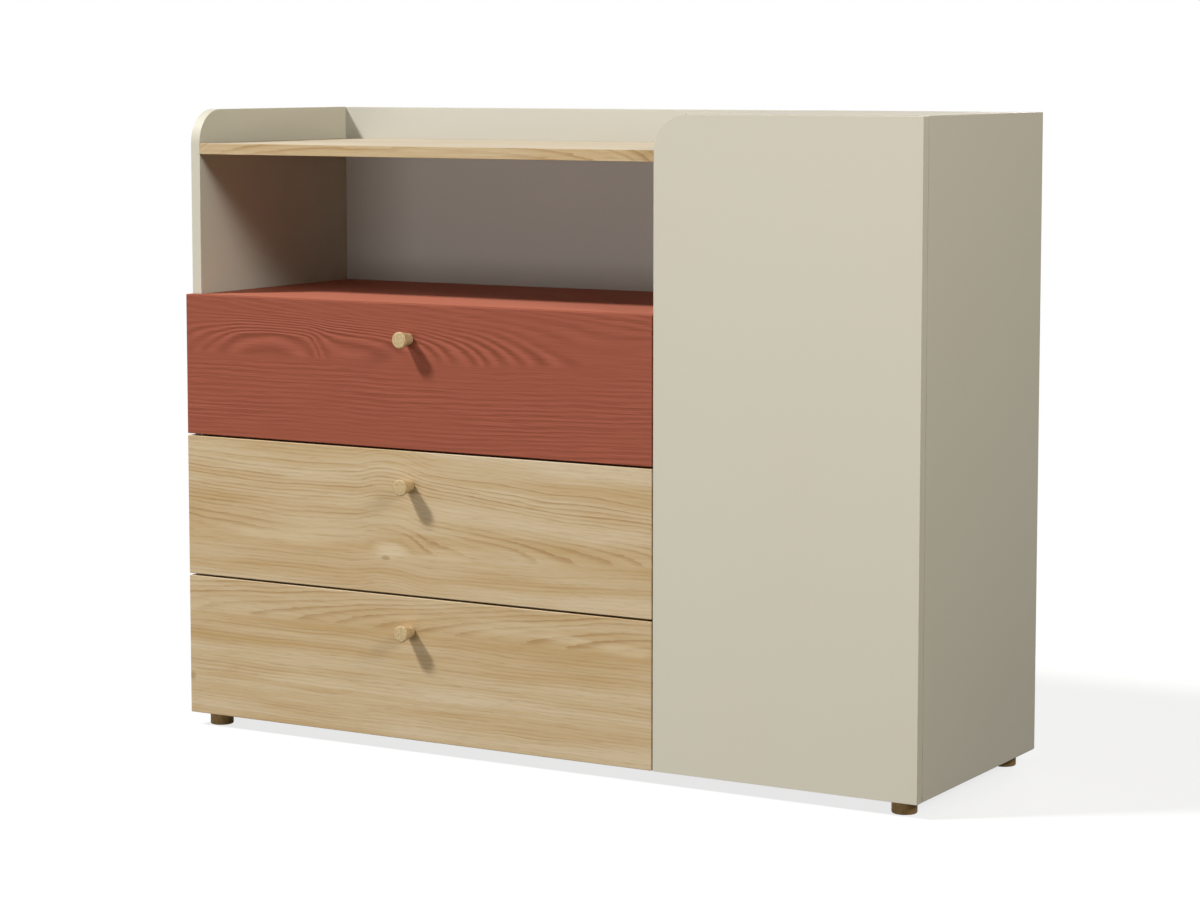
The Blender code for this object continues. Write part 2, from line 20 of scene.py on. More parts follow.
import bmesh
import bpy
from mathutils import Matrix, Vector

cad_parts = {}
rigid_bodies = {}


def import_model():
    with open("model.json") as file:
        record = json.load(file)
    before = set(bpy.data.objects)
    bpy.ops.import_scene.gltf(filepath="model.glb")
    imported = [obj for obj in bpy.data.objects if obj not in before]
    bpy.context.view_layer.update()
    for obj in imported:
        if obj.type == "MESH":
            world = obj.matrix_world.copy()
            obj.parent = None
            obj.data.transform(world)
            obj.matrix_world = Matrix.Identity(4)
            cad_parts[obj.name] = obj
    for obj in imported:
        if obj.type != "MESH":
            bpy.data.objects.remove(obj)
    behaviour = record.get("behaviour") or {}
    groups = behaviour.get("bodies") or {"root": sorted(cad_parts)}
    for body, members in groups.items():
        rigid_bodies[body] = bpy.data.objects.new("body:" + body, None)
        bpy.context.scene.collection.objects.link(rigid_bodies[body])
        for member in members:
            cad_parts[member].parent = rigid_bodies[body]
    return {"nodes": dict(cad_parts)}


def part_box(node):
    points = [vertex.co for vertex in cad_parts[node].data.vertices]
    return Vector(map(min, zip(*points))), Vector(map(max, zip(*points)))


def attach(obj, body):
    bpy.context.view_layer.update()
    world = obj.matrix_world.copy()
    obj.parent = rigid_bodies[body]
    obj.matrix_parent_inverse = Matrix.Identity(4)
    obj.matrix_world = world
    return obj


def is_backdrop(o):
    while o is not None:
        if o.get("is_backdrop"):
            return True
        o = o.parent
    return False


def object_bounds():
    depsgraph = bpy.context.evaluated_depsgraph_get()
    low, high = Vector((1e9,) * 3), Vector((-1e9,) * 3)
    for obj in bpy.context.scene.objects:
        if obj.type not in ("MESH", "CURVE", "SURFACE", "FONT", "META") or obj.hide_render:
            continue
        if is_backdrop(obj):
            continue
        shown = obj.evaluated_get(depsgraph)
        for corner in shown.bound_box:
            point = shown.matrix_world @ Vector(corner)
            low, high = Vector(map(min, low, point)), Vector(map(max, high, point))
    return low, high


LOG = logging.getLogger("chest_of_drawers")
MM = 0.001
WELD = 0.01 * MM  # points closer than this are one point
SHARP_DEG = 30.0  # edges that turn by more than this stay sharp
TOOL_OVER_MM = 1.0  # how far a boring tool stands over the surface that it cuts
BACK = Vector((0, 1, 0))
DOWN = Vector((0, 0, -1))

Colour = tuple[float, float, float, float]
Feeds = Mapping[str | int, Any]
Mesh = bpy.types.Mesh
Node = bpy.types.Node
Socket = bpy.types.NodeSocket
Source = Node | Socket
Tree = bpy.types.NodeTree

# Sockets of a mix, which has its own for plain values and for colours
FIRST_VALUE = 2
SECOND_VALUE = 3
FIRST_COLOUR = 6
SECOND_COLOUR = 7
MIXED_COLOUR = 2


def linear(hex_code: str) -> Colour:
    """Turn an sRGB colour into linear light.

    Args:
        hex_code: The colour, such as "#CECAB9".

    Returns:
        Red, green, blue and a full alpha.
    """
    parts = [int(hex_code[start:start + 2], 16) / 255 for start in (1, 3, 5)]
    light = [part / 12.92 if part <= 0.04045 else ((part + 0.055) / 1.055) ** 2.4 for part in parts]
    return (light[0], light[1], light[2], 1.0)


WHITE = linear("#FFFFFF")


def add_node(tree: Tree, kind: str, feeds: Feeds | None = None, **settings: Any) -> Node:
    """Add a node with its settings and links.

    Args:
        tree: The tree that gets the node.
        kind: The node's type, such as "ShaderNodeMath".
        feeds: For an input's name or number, the output that feeds it, a node whose first output does, or
            its fixed value.
        settings: Attributes of the node.

    Returns:
        The new node.
    """
    node = tree.nodes.new(kind)
    for name, value in settings.items():
        setattr(node, name, value)
    for name, value in (feeds or {}).items():
        source = value.outputs[0] if isinstance(value, Node) else value
        if isinstance(source, Socket):
            tree.links.new(source, node.inputs[name])
        else:
            node.inputs[name].default_value = source
    return node


def sized_noise(
    tree: Tree, sizes_mm: Sequence[float], detail: float = 2.0, seed: float | None = None,
) -> Node:
    """Add noise with lumps of a real size.

    Args:
        tree: The material's tree.
        sizes_mm: Size of the lumps along X, Y and Z.
        detail: Finer noises on top of it.
        seed: Picks a pattern of its own.

    Returns:
        The noise, mostly between 0.3 and 0.7.
    """
    place = add_node(tree, "ShaderNodeTexCoord").outputs["Object"]
    scale = [1 / (size * MM) for size in sizes_mm]
    drawn = add_node(tree, "ShaderNodeVectorMath", {0: place, 1: scale}, operation="MULTIPLY")
    feeds: dict[str | int, Any] = {"Vector": drawn, "Scale": 1.0, "Detail": detail}
    if seed is None:
        return add_node(tree, "ShaderNodeTexNoise", feeds)
    return add_node(tree, "ShaderNodeTexNoise", feeds | {"W": seed}, noise_dimensions="4D")


def layered(tree: Tree, ground: str, *layers: tuple[Source, str]) -> Socket | Colour:
    """Lay colours over a ground colour.

    Args:
        tree: The material's tree.
        ground: The colour underneath.
        layers: Share and colour of each layer, from the lowest up.

    Returns:
        The mixed colour.
    """
    colour: Socket | Colour = linear(ground)
    for share, over in layers:
        mix = add_node(
            tree, "ShaderNodeMix", {0: share, FIRST_COLOUR: colour, SECOND_COLOUR: linear(over)},
            data_type="RGBA",
        )
        colour = mix.outputs[MIXED_COLOUR]
    return colour


class Lies(Enum):
    """How a board with its grain along X lies: the axes across its grain and through it, as numbers."""

    UPRIGHT = (2, 1)
    FLAT = (1, 2)


class Bend(NamedTuple):
    """How the log lies at one place along a board, in millimetres: the line that its arches stand on,
    measured across the board, and how far the rings have sunk there."""

    along: float
    across: float
    sunk: float


class Mark(NamedTuple):
    """A soft oval mark in the wood of an upright board, such as a light eye or a pin knot: its middle and its
    sizes along and across the board in millimetres, its colour and how strongly it shows."""

    along: float
    across: float
    length: float
    height: float
    colour: str
    strength: float


class GrainLines(NamedTuple):
    """What a grain gives a finish: the count of rings from the heart, the place in a ring from its early to
    its late wood, a chance value of that ring, one that changes slowly from ring to ring, the share of the
    arches, which is zero under their line and far over it, and how clear the rings are."""

    count: Source
    part: Source
    chance: Source
    zone: Source
    among: Source
    clear: Source


@dataclass(frozen=True)
class Grain:
    """Growth rings of one flat-sawn board."""

    lies: Lies
    face_mm: float  # place of the face on the axis through the board
    heart: tuple[Bend, ...]
    seed: float = 0.0
    ring_mm: float = 5.0
    spread_mm: float = 45.0  # up to about this far from the line the rings stand further apart
    crown_mm: float = 1000.0  # height of the arches, over which the rings run along the board
    crown_from: float = 0.5  # shares of that height between which the arches give way
    crown_to: float = 1.2
    lean: float = 0.0  # how fast the rings change at the foot of the arches, as a share of the plain rate
    fade_mm: float = 9.0  # up to about this far from the line the rings are faint
    faintest: float = 0.1  # share of a ring that is left on the line
    sway_mm: float = 9.0
    sway_length_mm: float = 190.0
    sway_width_mm: float = 55.0
    crowding: float = 1.6  # how far rings are pushed together, in rings
    crowd_rate: float = 0.3  # how fast that changes from ring to ring
    zone_rate: float = 0.2  # how fast the tone changes from ring to ring
    fray_share: float = 0.6  # how far the edge of a ring frays, in rings
    fray_length_mm: float = 50.0
    fray_width_mm: float = 2.4
    smoothing: float = 0.0  # share of the fray that is missing among the arches

    def noise(self, tree: Tree, along_mm: float, across_mm: float, detail: float = 2.0) -> Node:
        """Add noise with lumps of these sizes along the grain and across it."""
        return sized_noise(tree, (along_mm, across_mm, across_mm), detail, self.seed)

    def follow(self, tree: Tree, along: Source, values_mm: Sequence[float]) -> Node:
        """Add a value that changes along the board.

        Args:
            tree: The material's tree.
            along: The place along the board.
            values_mm: The value at each bend of the heart.

        Returns:
            The value in metres.
        """
        low, start, end = min(values_mm), self.heart[0].along, self.heart[-1].along
        span = max(values_mm) - low or 1.0
        share = add_node(
            tree, "ShaderNodeMapRange", {"Value": along, "From Min": start * MM, "From Max": end * MM},
        )
        curve = add_node(tree, "ShaderNodeFloatCurve", {"Value": share})
        spots = [
            ((bend.along - start) / (end - start), (value - low) / span)
            for bend, value in zip(self.heart, values_mm)
        ]
        points = curve.mapping.curves[0].points
        points[0].location = spots[0]
        points[1].location = spots[-1]
        for spot in spots[1:-1]:
            points.new(*spot)
        curve.mapping.update()
        return add_node(
            tree, "ShaderNodeMath", {0: curve, 1: span * MM, 2: low * MM}, operation="MULTIPLY_ADD",
        )

    def arches(self, tree: Tree, along: Source, side: Source, apart: Source) -> tuple[Node, Node]:
        """Add rings that fall to the line wherever they have sunk, and run along the board under the line.

        Args:
            tree: The material's tree.
            along: The place along the board.
            side: Height over the line.
            apart: The same height, less where the rings stand further apart.

        Returns:
            The distance from the heart, and a share that is one among the arches and falls over them.
        """
        crown = self.crown_mm * MM
        near = add_node(
            tree, "ShaderNodeMapRange",
            {"Value": side, "From Min": self.crown_from * crown, "From Max": self.crown_to * crown,
             "To Min": 1.0, "To Max": 0.0},
            interpolation_type="SMOOTHSTEP",
        )
        sunk = self.follow(tree, along, [bend.sunk for bend in self.heart])
        first, last = self.heart[0], self.heart[-1]
        even = add_node(
            tree, "ShaderNodeMapRange",
            {"Value": along, "From Min": first.along * MM, "From Max": last.along * MM,
             "To Min": first.sunk * MM, "To Max": last.sunk * MM},
        )
        fall = add_node(tree, "ShaderNodeMix", {0: near, FIRST_VALUE: even, SECOND_VALUE: sunk})
        leaning = add_node(
            tree, "ShaderNodeMath", {0: side, 1: self.lean, 2: fall}, operation="MULTIPLY_ADD",
        )
        arch = add_node(tree, "ShaderNodeMath", {0: apart, 1: leaning}, operation="ADD")
        straight = add_node(tree, "ShaderNodeMath", {0: side}, operation="ABSOLUTE")
        over = add_node(tree, "ShaderNodeMath", {0: side, 1: 0.0}, operation="GREATER_THAN")
        flat = add_node(tree, "ShaderNodeMix", {0: over, FIRST_VALUE: straight, SECOND_VALUE: arch})
        among = add_node(tree, "ShaderNodeMath", {0: over, 1: near}, operation="MULTIPLY")
        return flat, among

    def lay(self, tree: Tree) -> GrainLines:
        """Add the rings to a material.

        Args:
            tree: The material's tree.

        Returns:
            What a finish draws its lines from.
        """
        place = add_node(tree, "ShaderNodeTexCoord").outputs["Object"]
        axes = add_node(tree, "ShaderNodeSeparateXYZ", {0: place}).outputs
        across, through = (axes[number] for number in self.lies.value)
        line = self.follow(tree, axes[0], [bend.across for bend in self.heart])
        level = add_node(tree, "ShaderNodeMath", {0: across, 1: line}, operation="SUBTRACT")
        # The sway's own middle, one half, is taken off again
        centred = add_node(tree, "ShaderNodeMath", {0: level, 1: self.sway_mm * MM}, operation="SUBTRACT")
        sway = self.noise(tree, self.sway_length_mm, self.sway_width_mm)
        side = add_node(
            tree, "ShaderNodeMath", {0: sway, 1: 2 * self.sway_mm * MM, 2: centred}, operation="MULTIPLY_ADD",
        )
        reach = add_node(tree, "ShaderNodeCombineXYZ", {0: side, 1: self.spread_mm * MM})
        length = add_node(tree, "ShaderNodeVectorMath", {0: reach}, operation="LENGTH").outputs["Value"]
        apart = add_node(tree, "ShaderNodeMath", {0: length, 1: self.spread_mm * MM}, operation="SUBTRACT")
        flat, among = self.arches(tree, axes[0], side, apart)
        height = add_node(tree, "ShaderNodeMath", {0: side}, operation="ABSOLUTE")
        clear = add_node(
            tree, "ShaderNodeMapRange",
            {"Value": height, "From Max": self.fade_mm * MM, "To Min": self.faintest},
            interpolation_type="SMOOTHSTEP",
        )
        inwards = add_node(tree, "ShaderNodeMath", {0: through, 1: self.face_mm * MM}, operation="SUBTRACT")
        deep = add_node(tree, "ShaderNodeMath", {0: inwards}, operation="ABSOLUTE")
        radius = add_node(tree, "ShaderNodeMath", {0: flat, 1: deep}, operation="ADD")
        even = add_node(tree, "ShaderNodeMath", {0: radius, 1: self.ring_mm * MM}, operation="DIVIDE")
        crowd = add_node(
            tree, "ShaderNodeTexNoise", {"W": even, "Scale": self.crowd_rate, "Detail": 1.0},
            noise_dimensions="1D",
        )
        uneven = add_node(
            tree, "ShaderNodeMath", {0: crowd, 1: self.crowding, 2: even}, operation="MULTIPLY_ADD",
        )
        fray = self.noise(tree, self.fray_length_mm, self.fray_width_mm)
        frayed = add_node(
            tree, "ShaderNodeMapRange",
            {"Value": among, "To Min": self.fray_share, "To Max": self.fray_share * (1 - self.smoothing)},
        )
        rings = add_node(tree, "ShaderNodeMath", {0: fray, 1: frayed, 2: uneven}, operation="MULTIPLY_ADD")
        part = add_node(tree, "ShaderNodeMath", {0: rings}, operation="FRACT")
        number = add_node(tree, "ShaderNodeMath", {0: rings}, operation="FLOOR")
        chance = add_node(tree, "ShaderNodeTexWhiteNoise", {"W": number}, noise_dimensions="1D")
        zone = add_node(
            tree, "ShaderNodeTexNoise", {"W": rings, "Scale": self.zone_rate, "Detail": 2.0},
            noise_dimensions="1D",
        )
        return GrainLines(rings, part, chance, zone, among, clear)


@dataclass(frozen=True)
class Finish:
    """A surface as a maker would order it."""

    name: str

    @cache
    def material(self) -> bpy.types.Material:
        """Build the finish's material the first time.

        Returns:
            The material.
        """
        material = bpy.data.materials.new(self.name)
        material.use_nodes = True
        tree = material.node_tree
        tree.nodes.clear()
        shader = add_node(tree, "ShaderNodeBsdfPrincipled", self.paint(tree))
        add_node(tree, "ShaderNodeOutputMaterial", {0: shader})
        LOG.info("finish %s", self.name)
        return material

    def paint(self, tree: Tree) -> Feeds:
        """Draw the surface.

        Args:
            tree: The material's tree.

        Returns:
            What feeds the shader's inputs.
        """
        raise NotImplementedError


@dataclass(frozen=True)
class MattLacquer(Finish):
    """Matt lacquer rolled on board: one quiet colour with a soft dull sheen and the faint peel of the
    roller."""

    colour: str
    cloud_colour: str
    cloud_mm: float = 240.0
    # The real peel is about 0.6 mm, drawn wider so that it shows
    peel_mm: float = 2.6
    peel_depth_mm: float = 0.1
    peel_strength: float = 0.12
    roughness: float = 0.52
    roughness_range: float = 0.08
    specular: float = 0.25

    def paint(self, tree: Tree) -> Feeds:
        """Cloud the colour a little, and roll a fine peel into the surface.

        Args:
            tree: The material's tree.

        Returns:
            What feeds the shader's inputs.
        """
        cloud = sized_noise(tree, [self.cloud_mm] * 3, 3.0)
        peel = sized_noise(tree, [self.peel_mm] * 3)
        half = self.roughness_range / 2
        dull = add_node(
            tree, "ShaderNodeMapRange",
            {"Value": peel, "To Min": self.roughness - half, "To Max": self.roughness + half},
        )
        relief = add_node(
            tree, "ShaderNodeBump",
            {"Height": peel, "Strength": self.peel_strength, "Distance": self.peel_depth_mm * MM},
        )
        return {
            "Base Color": layered(tree, self.colour, (cloud, self.cloud_colour)),
            "Roughness": dull, "Normal": relief, "Specular IOR Level": self.specular,
        }


@dataclass(frozen=True)
class OakVeneer(Finish):
    """Natural oak under matt oil: cream and straw bands, darker late wood at each ring, fine streaks and
    short open pores."""

    grain: Grain
    cream: str = "#CDBB9B"
    straw: str = "#BA9D6F"
    late: str = "#A17E4E"
    pore: str = "#94764B"
    band_mm: float = 30.0
    band_length_mm: float = 340.0
    streak_mm: float = 3.2
    streak_length_mm: float = 110.0
    streak_weight: float = 0.55  # against the bands and the zones of rings
    straw_from: float = 0.99  # sums of bands, zones and streaks between which cream turns to straw
    straw_to: float = 1.59
    late_from: float = 0.45  # parts of a ring between which the late wood sets in
    late_to: float = 0.95
    late_least: float = 0.15  # how strongly the palest and the darkest ring show
    late_most: float = 0.5
    late_most_arched: float = 0.9
    fade_from: float = 0.36  # values of the bands between which faint rings grow clear
    fade_to: float = 0.58
    fade_least: float = 0.15
    # Real pores are about 0.3 mm wide, drawn wider so that they show
    pore_mm: float = 1.3
    pore_length_mm: float = 26.0
    pore_from: float = 0.54
    pore_to: float = 0.74
    pore_share: float = 0.28
    pore_depth_mm: float = 0.15
    pore_strength: float = 0.35
    mark_from: float = 0.9  # shares of a mark's size between which it fades out
    mark_to: float = 1.7
    smoothest: float = 0.46
    roughest: float = 0.62
    specular: float = 0.25
    marks: tuple[Mark, ...] = ()

    def share_of(self, tree: Tree, mark: Mark, streaks: Source) -> Node:
        """Add a mark to the board.

        Args:
            tree: The material's tree.
            mark: The mark.
            streaks: Noise that breaks its outline.

        Returns:
            The share of the mark's colour.
        """
        place = add_node(tree, "ShaderNodeTexCoord").outputs["Object"]
        middle = (mark.along * MM, 0.0, mark.across * MM)
        offset = add_node(tree, "ShaderNodeVectorMath", {0: place, 1: middle}, operation="SUBTRACT")
        sizes = (2 / (mark.length * MM), 0.0, 2 / (mark.height * MM))
        oval = add_node(tree, "ShaderNodeVectorMath", {0: offset, 1: sizes}, operation="MULTIPLY")
        reach = add_node(tree, "ShaderNodeVectorMath", {0: oval}, operation="LENGTH").outputs["Value"]
        broken = add_node(tree, "ShaderNodeMath", {0: reach, 1: streaks}, operation="ADD")
        return add_node(
            tree, "ShaderNodeMapRange",
            {"Value": broken, "From Min": self.mark_from, "From Max": self.mark_to,
             "To Min": mark.strength, "To Max": 0.0},
            interpolation_type="SMOOTHSTEP",
        )

    def paint(self, tree: Tree) -> Feeds:
        """Lay bands, rings, streaks, marks and pores over each other.

        Args:
            tree: The material's tree.

        Returns:
            What feeds the shader's inputs.
        """
        lines = self.grain.lay(tree)
        bands = self.grain.noise(tree, self.band_length_mm, self.band_mm)
        streaks = self.grain.noise(tree, self.streak_length_mm, self.streak_mm, 3.0)
        pores = self.grain.noise(tree, self.pore_length_mm, self.pore_mm, 1.0)
        slow = add_node(tree, "ShaderNodeMath", {0: bands, 1: lines.zone}, operation="ADD")
        mixed = add_node(
            tree, "ShaderNodeMath", {0: streaks, 1: self.streak_weight, 2: slow}, operation="MULTIPLY_ADD",
        )
        tone = add_node(
            tree, "ShaderNodeMapRange",
            {"Value": mixed, "From Min": self.straw_from, "From Max": self.straw_to},
        )
        late = add_node(
            tree, "ShaderNodeMapRange",
            {"Value": lines.part, "From Min": self.late_from, "From Max": self.late_to},
            interpolation_type="SMOOTHSTEP",
        )
        most = add_node(
            tree, "ShaderNodeMapRange",
            {"Value": lines.among, "To Min": self.late_most, "To Max": self.late_most_arched},
        )
        weight = add_node(
            tree, "ShaderNodeMapRange", {"Value": lines.chance, "To Min": self.late_least, "To Max": most},
        )
        ring = add_node(tree, "ShaderNodeMath", {0: late, 1: weight}, operation="MULTIPLY")
        fading = add_node(
            tree, "ShaderNodeMapRange",
            {"Value": bands, "From Min": self.fade_from, "From Max": self.fade_to,
             "To Min": self.fade_least, "To Max": lines.clear},
        )
        faded = add_node(tree, "ShaderNodeMath", {0: ring, 1: fading}, operation="MULTIPLY")
        open_pore = add_node(
            tree, "ShaderNodeMapRange",
            {"Value": pores, "From Min": self.pore_from, "From Max": self.pore_to, "To Max": self.pore_share},
        )
        marks = [(self.share_of(tree, mark, streaks), mark.colour) for mark in self.marks]
        dull = add_node(
            tree, "ShaderNodeMapRange",
            {"Value": streaks, "To Min": self.smoothest, "To Max": self.roughest},
        )
        relief = add_node(
            tree, "ShaderNodeBump",
            {"Height": open_pore, "Strength": self.pore_strength, "Distance": self.pore_depth_mm * MM},
            invert=True,
        )
        return {
            "Base Color": layered(
                tree, self.cream, (tone, self.straw), (faded, self.late), *marks, (open_pore, self.pore),
            ),
            "Roughness": dull, "Normal": relief, "Specular IOR Level": self.specular,
        }


@dataclass(frozen=True)
class OpenPoreLacquer(Finish):
    """Matt lacquer over brushed wood: one colour, in which the sunken early wood draws the rings as
    relief."""

    grain: Grain
    colour: str
    hollow: str
    relief_mm: float = 0.7
    relief_strength: float = 0.7
    groove_least: float = 0.05
    groove_most: float = 0.24
    groove_most_arched: float = 0.55
    patch_mm: float = 40.0
    patch_length_mm: float = 170.0
    patch_from: float = 0.35  # values of the patches between which the grooves grow deep
    patch_to: float = 0.65
    fibre_mm: float = 2.4
    fibre_length_mm: float = 75.0
    fibre_weight: float = 0.6  # against the grooves
    hollow_from: float = -0.1  # depths between which the colour turns to that of a hollow
    hollow_to: float = 0.8
    roughness: float = 0.7
    specular: float = 0.12

    def paint(self, tree: Tree) -> Feeds:
        """Sink a soft groove into each ring, deeper in some places, and run fine fibres along it.

        Args:
            tree: The material's tree.

        Returns:
            What feeds the shader's inputs.
        """
        lines = self.grain.lay(tree)
        turned = add_node(tree, "ShaderNodeMath", {0: lines.count, 1: math.tau}, operation="MULTIPLY")
        wave = add_node(tree, "ShaderNodeMath", {0: turned}, operation="SINE")
        patch = self.grain.noise(tree, self.patch_length_mm, self.patch_mm)
        most = add_node(
            tree, "ShaderNodeMapRange",
            {"Value": lines.among, "To Min": self.groove_most, "To Max": self.groove_most_arched},
        )
        weight = add_node(
            tree, "ShaderNodeMapRange",
            {"Value": patch, "From Min": self.patch_from, "From Max": self.patch_to,
             "To Min": self.groove_least, "To Max": most},
        )
        groove = add_node(tree, "ShaderNodeMath", {0: wave, 1: weight}, operation="MULTIPLY")
        faint = add_node(tree, "ShaderNodeMath", {0: groove, 1: lines.clear}, operation="MULTIPLY")
        fibre = self.grain.noise(tree, self.fibre_length_mm, self.fibre_mm, 3.0)
        depth = add_node(
            tree, "ShaderNodeMath", {0: fibre, 1: self.fibre_weight, 2: faint}, operation="MULTIPLY_ADD",
        )
        share = add_node(
            tree, "ShaderNodeMapRange",
            {"Value": depth, "From Min": self.hollow_from, "From Max": self.hollow_to},
        )
        relief = add_node(
            tree, "ShaderNodeBump",
            {"Height": depth, "Strength": self.relief_strength, "Distance": self.relief_mm * MM}, invert=True,
        )
        return {
            "Base Color": layered(tree, self.colour, (share, self.hollow)),
            "Roughness": self.roughness, "Normal": relief, "Specular IOR Level": self.specular,
        }


@dataclass(frozen=True)
class FineWood(Finish):
    """Turned or stained wood of small pieces: close fibres along one axis, a little darker in the hollows."""

    colour: str
    fibre_colour: str
    # Size of the fibres along X, Y and Z, drawn wider than the real 0.2 mm so that they show
    fibre_mm: tuple[float, float, float]
    fibre_from: float = 0.35
    fibre_to: float = 0.7
    fibre_depth_mm: float = 0.1
    fibre_strength: float = 0.2
    roughness: float = 0.6
    specular: float = 0.2

    def paint(self, tree: Tree) -> Feeds:
        """Run the fibres along their axis.

        Args:
            tree: The material's tree.

        Returns:
            What feeds the shader's inputs.
        """
        fibre = sized_noise(tree, self.fibre_mm, 3.0)
        share = add_node(
            tree, "ShaderNodeMapRange",
            {"Value": fibre, "From Min": self.fibre_from, "From Max": self.fibre_to},
        )
        relief = add_node(
            tree, "ShaderNodeBump",
            {"Height": fibre, "Strength": self.fibre_strength, "Distance": self.fibre_depth_mm * MM},
            invert=True,
        )
        return {
            "Base Color": layered(tree, self.colour, (share, self.fibre_colour)),
            "Roughness": self.roughness, "Normal": relief, "Specular IOR Level": self.specular,
        }


@dataclass(frozen=True)
class Melamine(Finish):
    """Melamine film pressed on drawer board: a pale even face with the fine linen of the press plate."""

    colour: str
    weave_colour: str
    # Real threads are about 0.4 mm wide, drawn wider so that they show
    weave_mm: float = 2.2
    thread_length: float = 9.0  # as a multiple of its width
    weave_from: float = 1.2
    weave_to: float = 1.8
    weave_depth_mm: float = 0.1
    weave_strength: float = 0.1
    roughness: float = 0.5

    def paint(self, tree: Tree) -> Feeds:
        """Press crossed threads into the film.

        Args:
            tree: The material's tree.

        Returns:
            What feeds the shader's inputs.
        """
        threads = []
        for long_axis in range(3):
            sizes = [self.weave_mm] * 3
            sizes[long_axis] *= self.thread_length
            threads.append(sized_noise(tree, sizes))
        pair = add_node(tree, "ShaderNodeMath", {0: threads[0], 1: threads[1]}, operation="ADD")
        weave = add_node(tree, "ShaderNodeMath", {0: pair, 1: threads[2]}, operation="ADD")
        share = add_node(
            tree, "ShaderNodeMapRange",
            {"Value": weave, "From Min": self.weave_from, "From Max": self.weave_to},
        )
        relief = add_node(
            tree, "ShaderNodeBump",
            {"Height": weave, "Strength": self.weave_strength, "Distance": self.weave_depth_mm * MM},
        )
        return {
            "Base Color": layered(tree, self.colour, (share, self.weave_colour)),
            "Roughness": self.roughness, "Normal": relief,
        }


@dataclass(frozen=True)
class PlatedSteel(Finish):
    """Plated sheet steel: a cool metal whose gloss breaks up along the rolling direction and by grain."""

    colour: str
    shade: str
    roughness: float
    # Size of the marks along X, Y and Z
    roll_mm: tuple[float, float, float]
    spangle_mm: float = 6.0
    shade_from: float = 0.4  # sums of roll and spangle between which the colour turns to the shade
    shade_to: float = 1.5
    smoothest: float = 0.85  # shares of the roughness
    roughest: float = 1.2

    def paint(self, tree: Tree) -> Feeds:
        """Roll fine lines into the metal and let its grain vary the gloss.

        Args:
            tree: The material's tree.

        Returns:
            What feeds the shader's inputs.
        """
        place = add_node(tree, "ShaderNodeTexCoord").outputs["Object"]
        rolled = sized_noise(tree, self.roll_mm, 3.0)
        spangle = add_node(
            tree, "ShaderNodeTexVoronoi", {"Vector": place, "Scale": 1 / (self.spangle_mm * MM)},
        )
        grey = add_node(tree, "ShaderNodeRGBToBW", {0: spangle.outputs["Color"]})
        both = add_node(tree, "ShaderNodeMath", {0: rolled, 1: grey}, operation="ADD")
        spread = {"Value": both, "From Min": self.shade_from, "From Max": self.shade_to}
        share = add_node(tree, "ShaderNodeMapRange", spread)
        gloss = add_node(
            tree, "ShaderNodeMapRange",
            spread | {"To Min": self.roughness * self.smoothest, "To Max": self.roughness * self.roughest},
        )
        return {
            "Base Color": layered(tree, self.colour, (share, self.shade)),
            "Roughness": gloss, "Metallic": 1.0,
        }


@dataclass(frozen=True)
class MouldedPlastic(Finish):
    """Moulded plastic: a plain body colour with the fine even grit of a spark-eroded mould."""

    colour: str
    grit_colour: str
    roughness: float = 0.45
    transmission: float = 0.0
    # The real grit is about 0.1 mm, drawn wider so that it shows
    grit_mm: float = 0.9
    grit_depth_mm: float = 0.05
    grit_strength: float = 0.2

    def paint(self, tree: Tree) -> Feeds:
        """Cover the surface with grit.

        Args:
            tree: The material's tree.

        Returns:
            What feeds the shader's inputs.
        """
        grit = sized_noise(tree, [self.grit_mm] * 3)
        relief = add_node(
            tree, "ShaderNodeBump",
            {"Height": grit, "Strength": self.grit_strength, "Distance": self.grit_depth_mm * MM},
        )
        return {
            "Base Color": layered(tree, self.colour, (grit, self.grit_colour)),
            "Roughness": self.roughness, "Normal": relief, "Transmission Weight": self.transmission,
        }


FRONT_FACE_MM = -187.0

GREIGE = MattLacquer("matt_lacquer_greige", "#CCC8B7", "#CAC5B3")
# The same greige lacquer painted darker for the cabinet top and corner post: painted shade that tones down
# the key light on the top
GREIGE_TOP_PAINTED_SHADE = MattLacquer("matt_lacquer_greige_top_painted_shade", "#B6B1A2", "#B4AE9E")
# The same greige lacquer painted darker and cooler for the back: painted shade that offsets the warm light
# thrown up from the oak shelf
GREIGE_BACK_PAINTED_SHADE = MattLacquer("matt_lacquer_greige_back_painted_shade", "#C4C2B7", "#C2BFB3")
TERRACOTTA_FRONT = OpenPoreLacquer(
    "open_pore_lacquer_terracotta",
    Grain(
        Lies.UPRIGHT, FRONT_FACE_MM,
        (
            Bend(-600, 561, 38), Bend(-540, 562, 25), Bend(-470, 563, 15), Bend(-390, 564, 19),
            Bend(-330, 564, 39), Bend(-265, 562, 42), Bend(-200, 562, 54), Bend(-112, 563, 77),
            Bend(-17, 566, 101), Bend(60, 569, 115), Bend(120, 571, 121), Bend(198, 574, 118),
        ),
        seed=3.1, ring_mm=7.2, spread_mm=70.0, crown_mm=60.0, lean=0.04, sway_mm=6.0, crowding=1.4,
        fray_share=1.0, fray_width_mm=3.0, smoothing=0.65,
    ),
    "#A35B47", "#834631",
)
# A lighter terracotta on the niche floor than on the front: partly the shallower grooves of its lacquer,
# partly painted light on this lit top face
TERRACOTTA_FLOOR_PAINTED_LIGHT = OpenPoreLacquer(
    "open_pore_lacquer_terracotta_floor_painted_light",
    Grain(Lies.FLAT, 652, (Bend(-600, 20, 40), Bend(-200, 40, 0), Bend(198, 10, 40)), seed=5.3),
    "#C2765F", "#9D5B46", relief_mm=0.4,
)
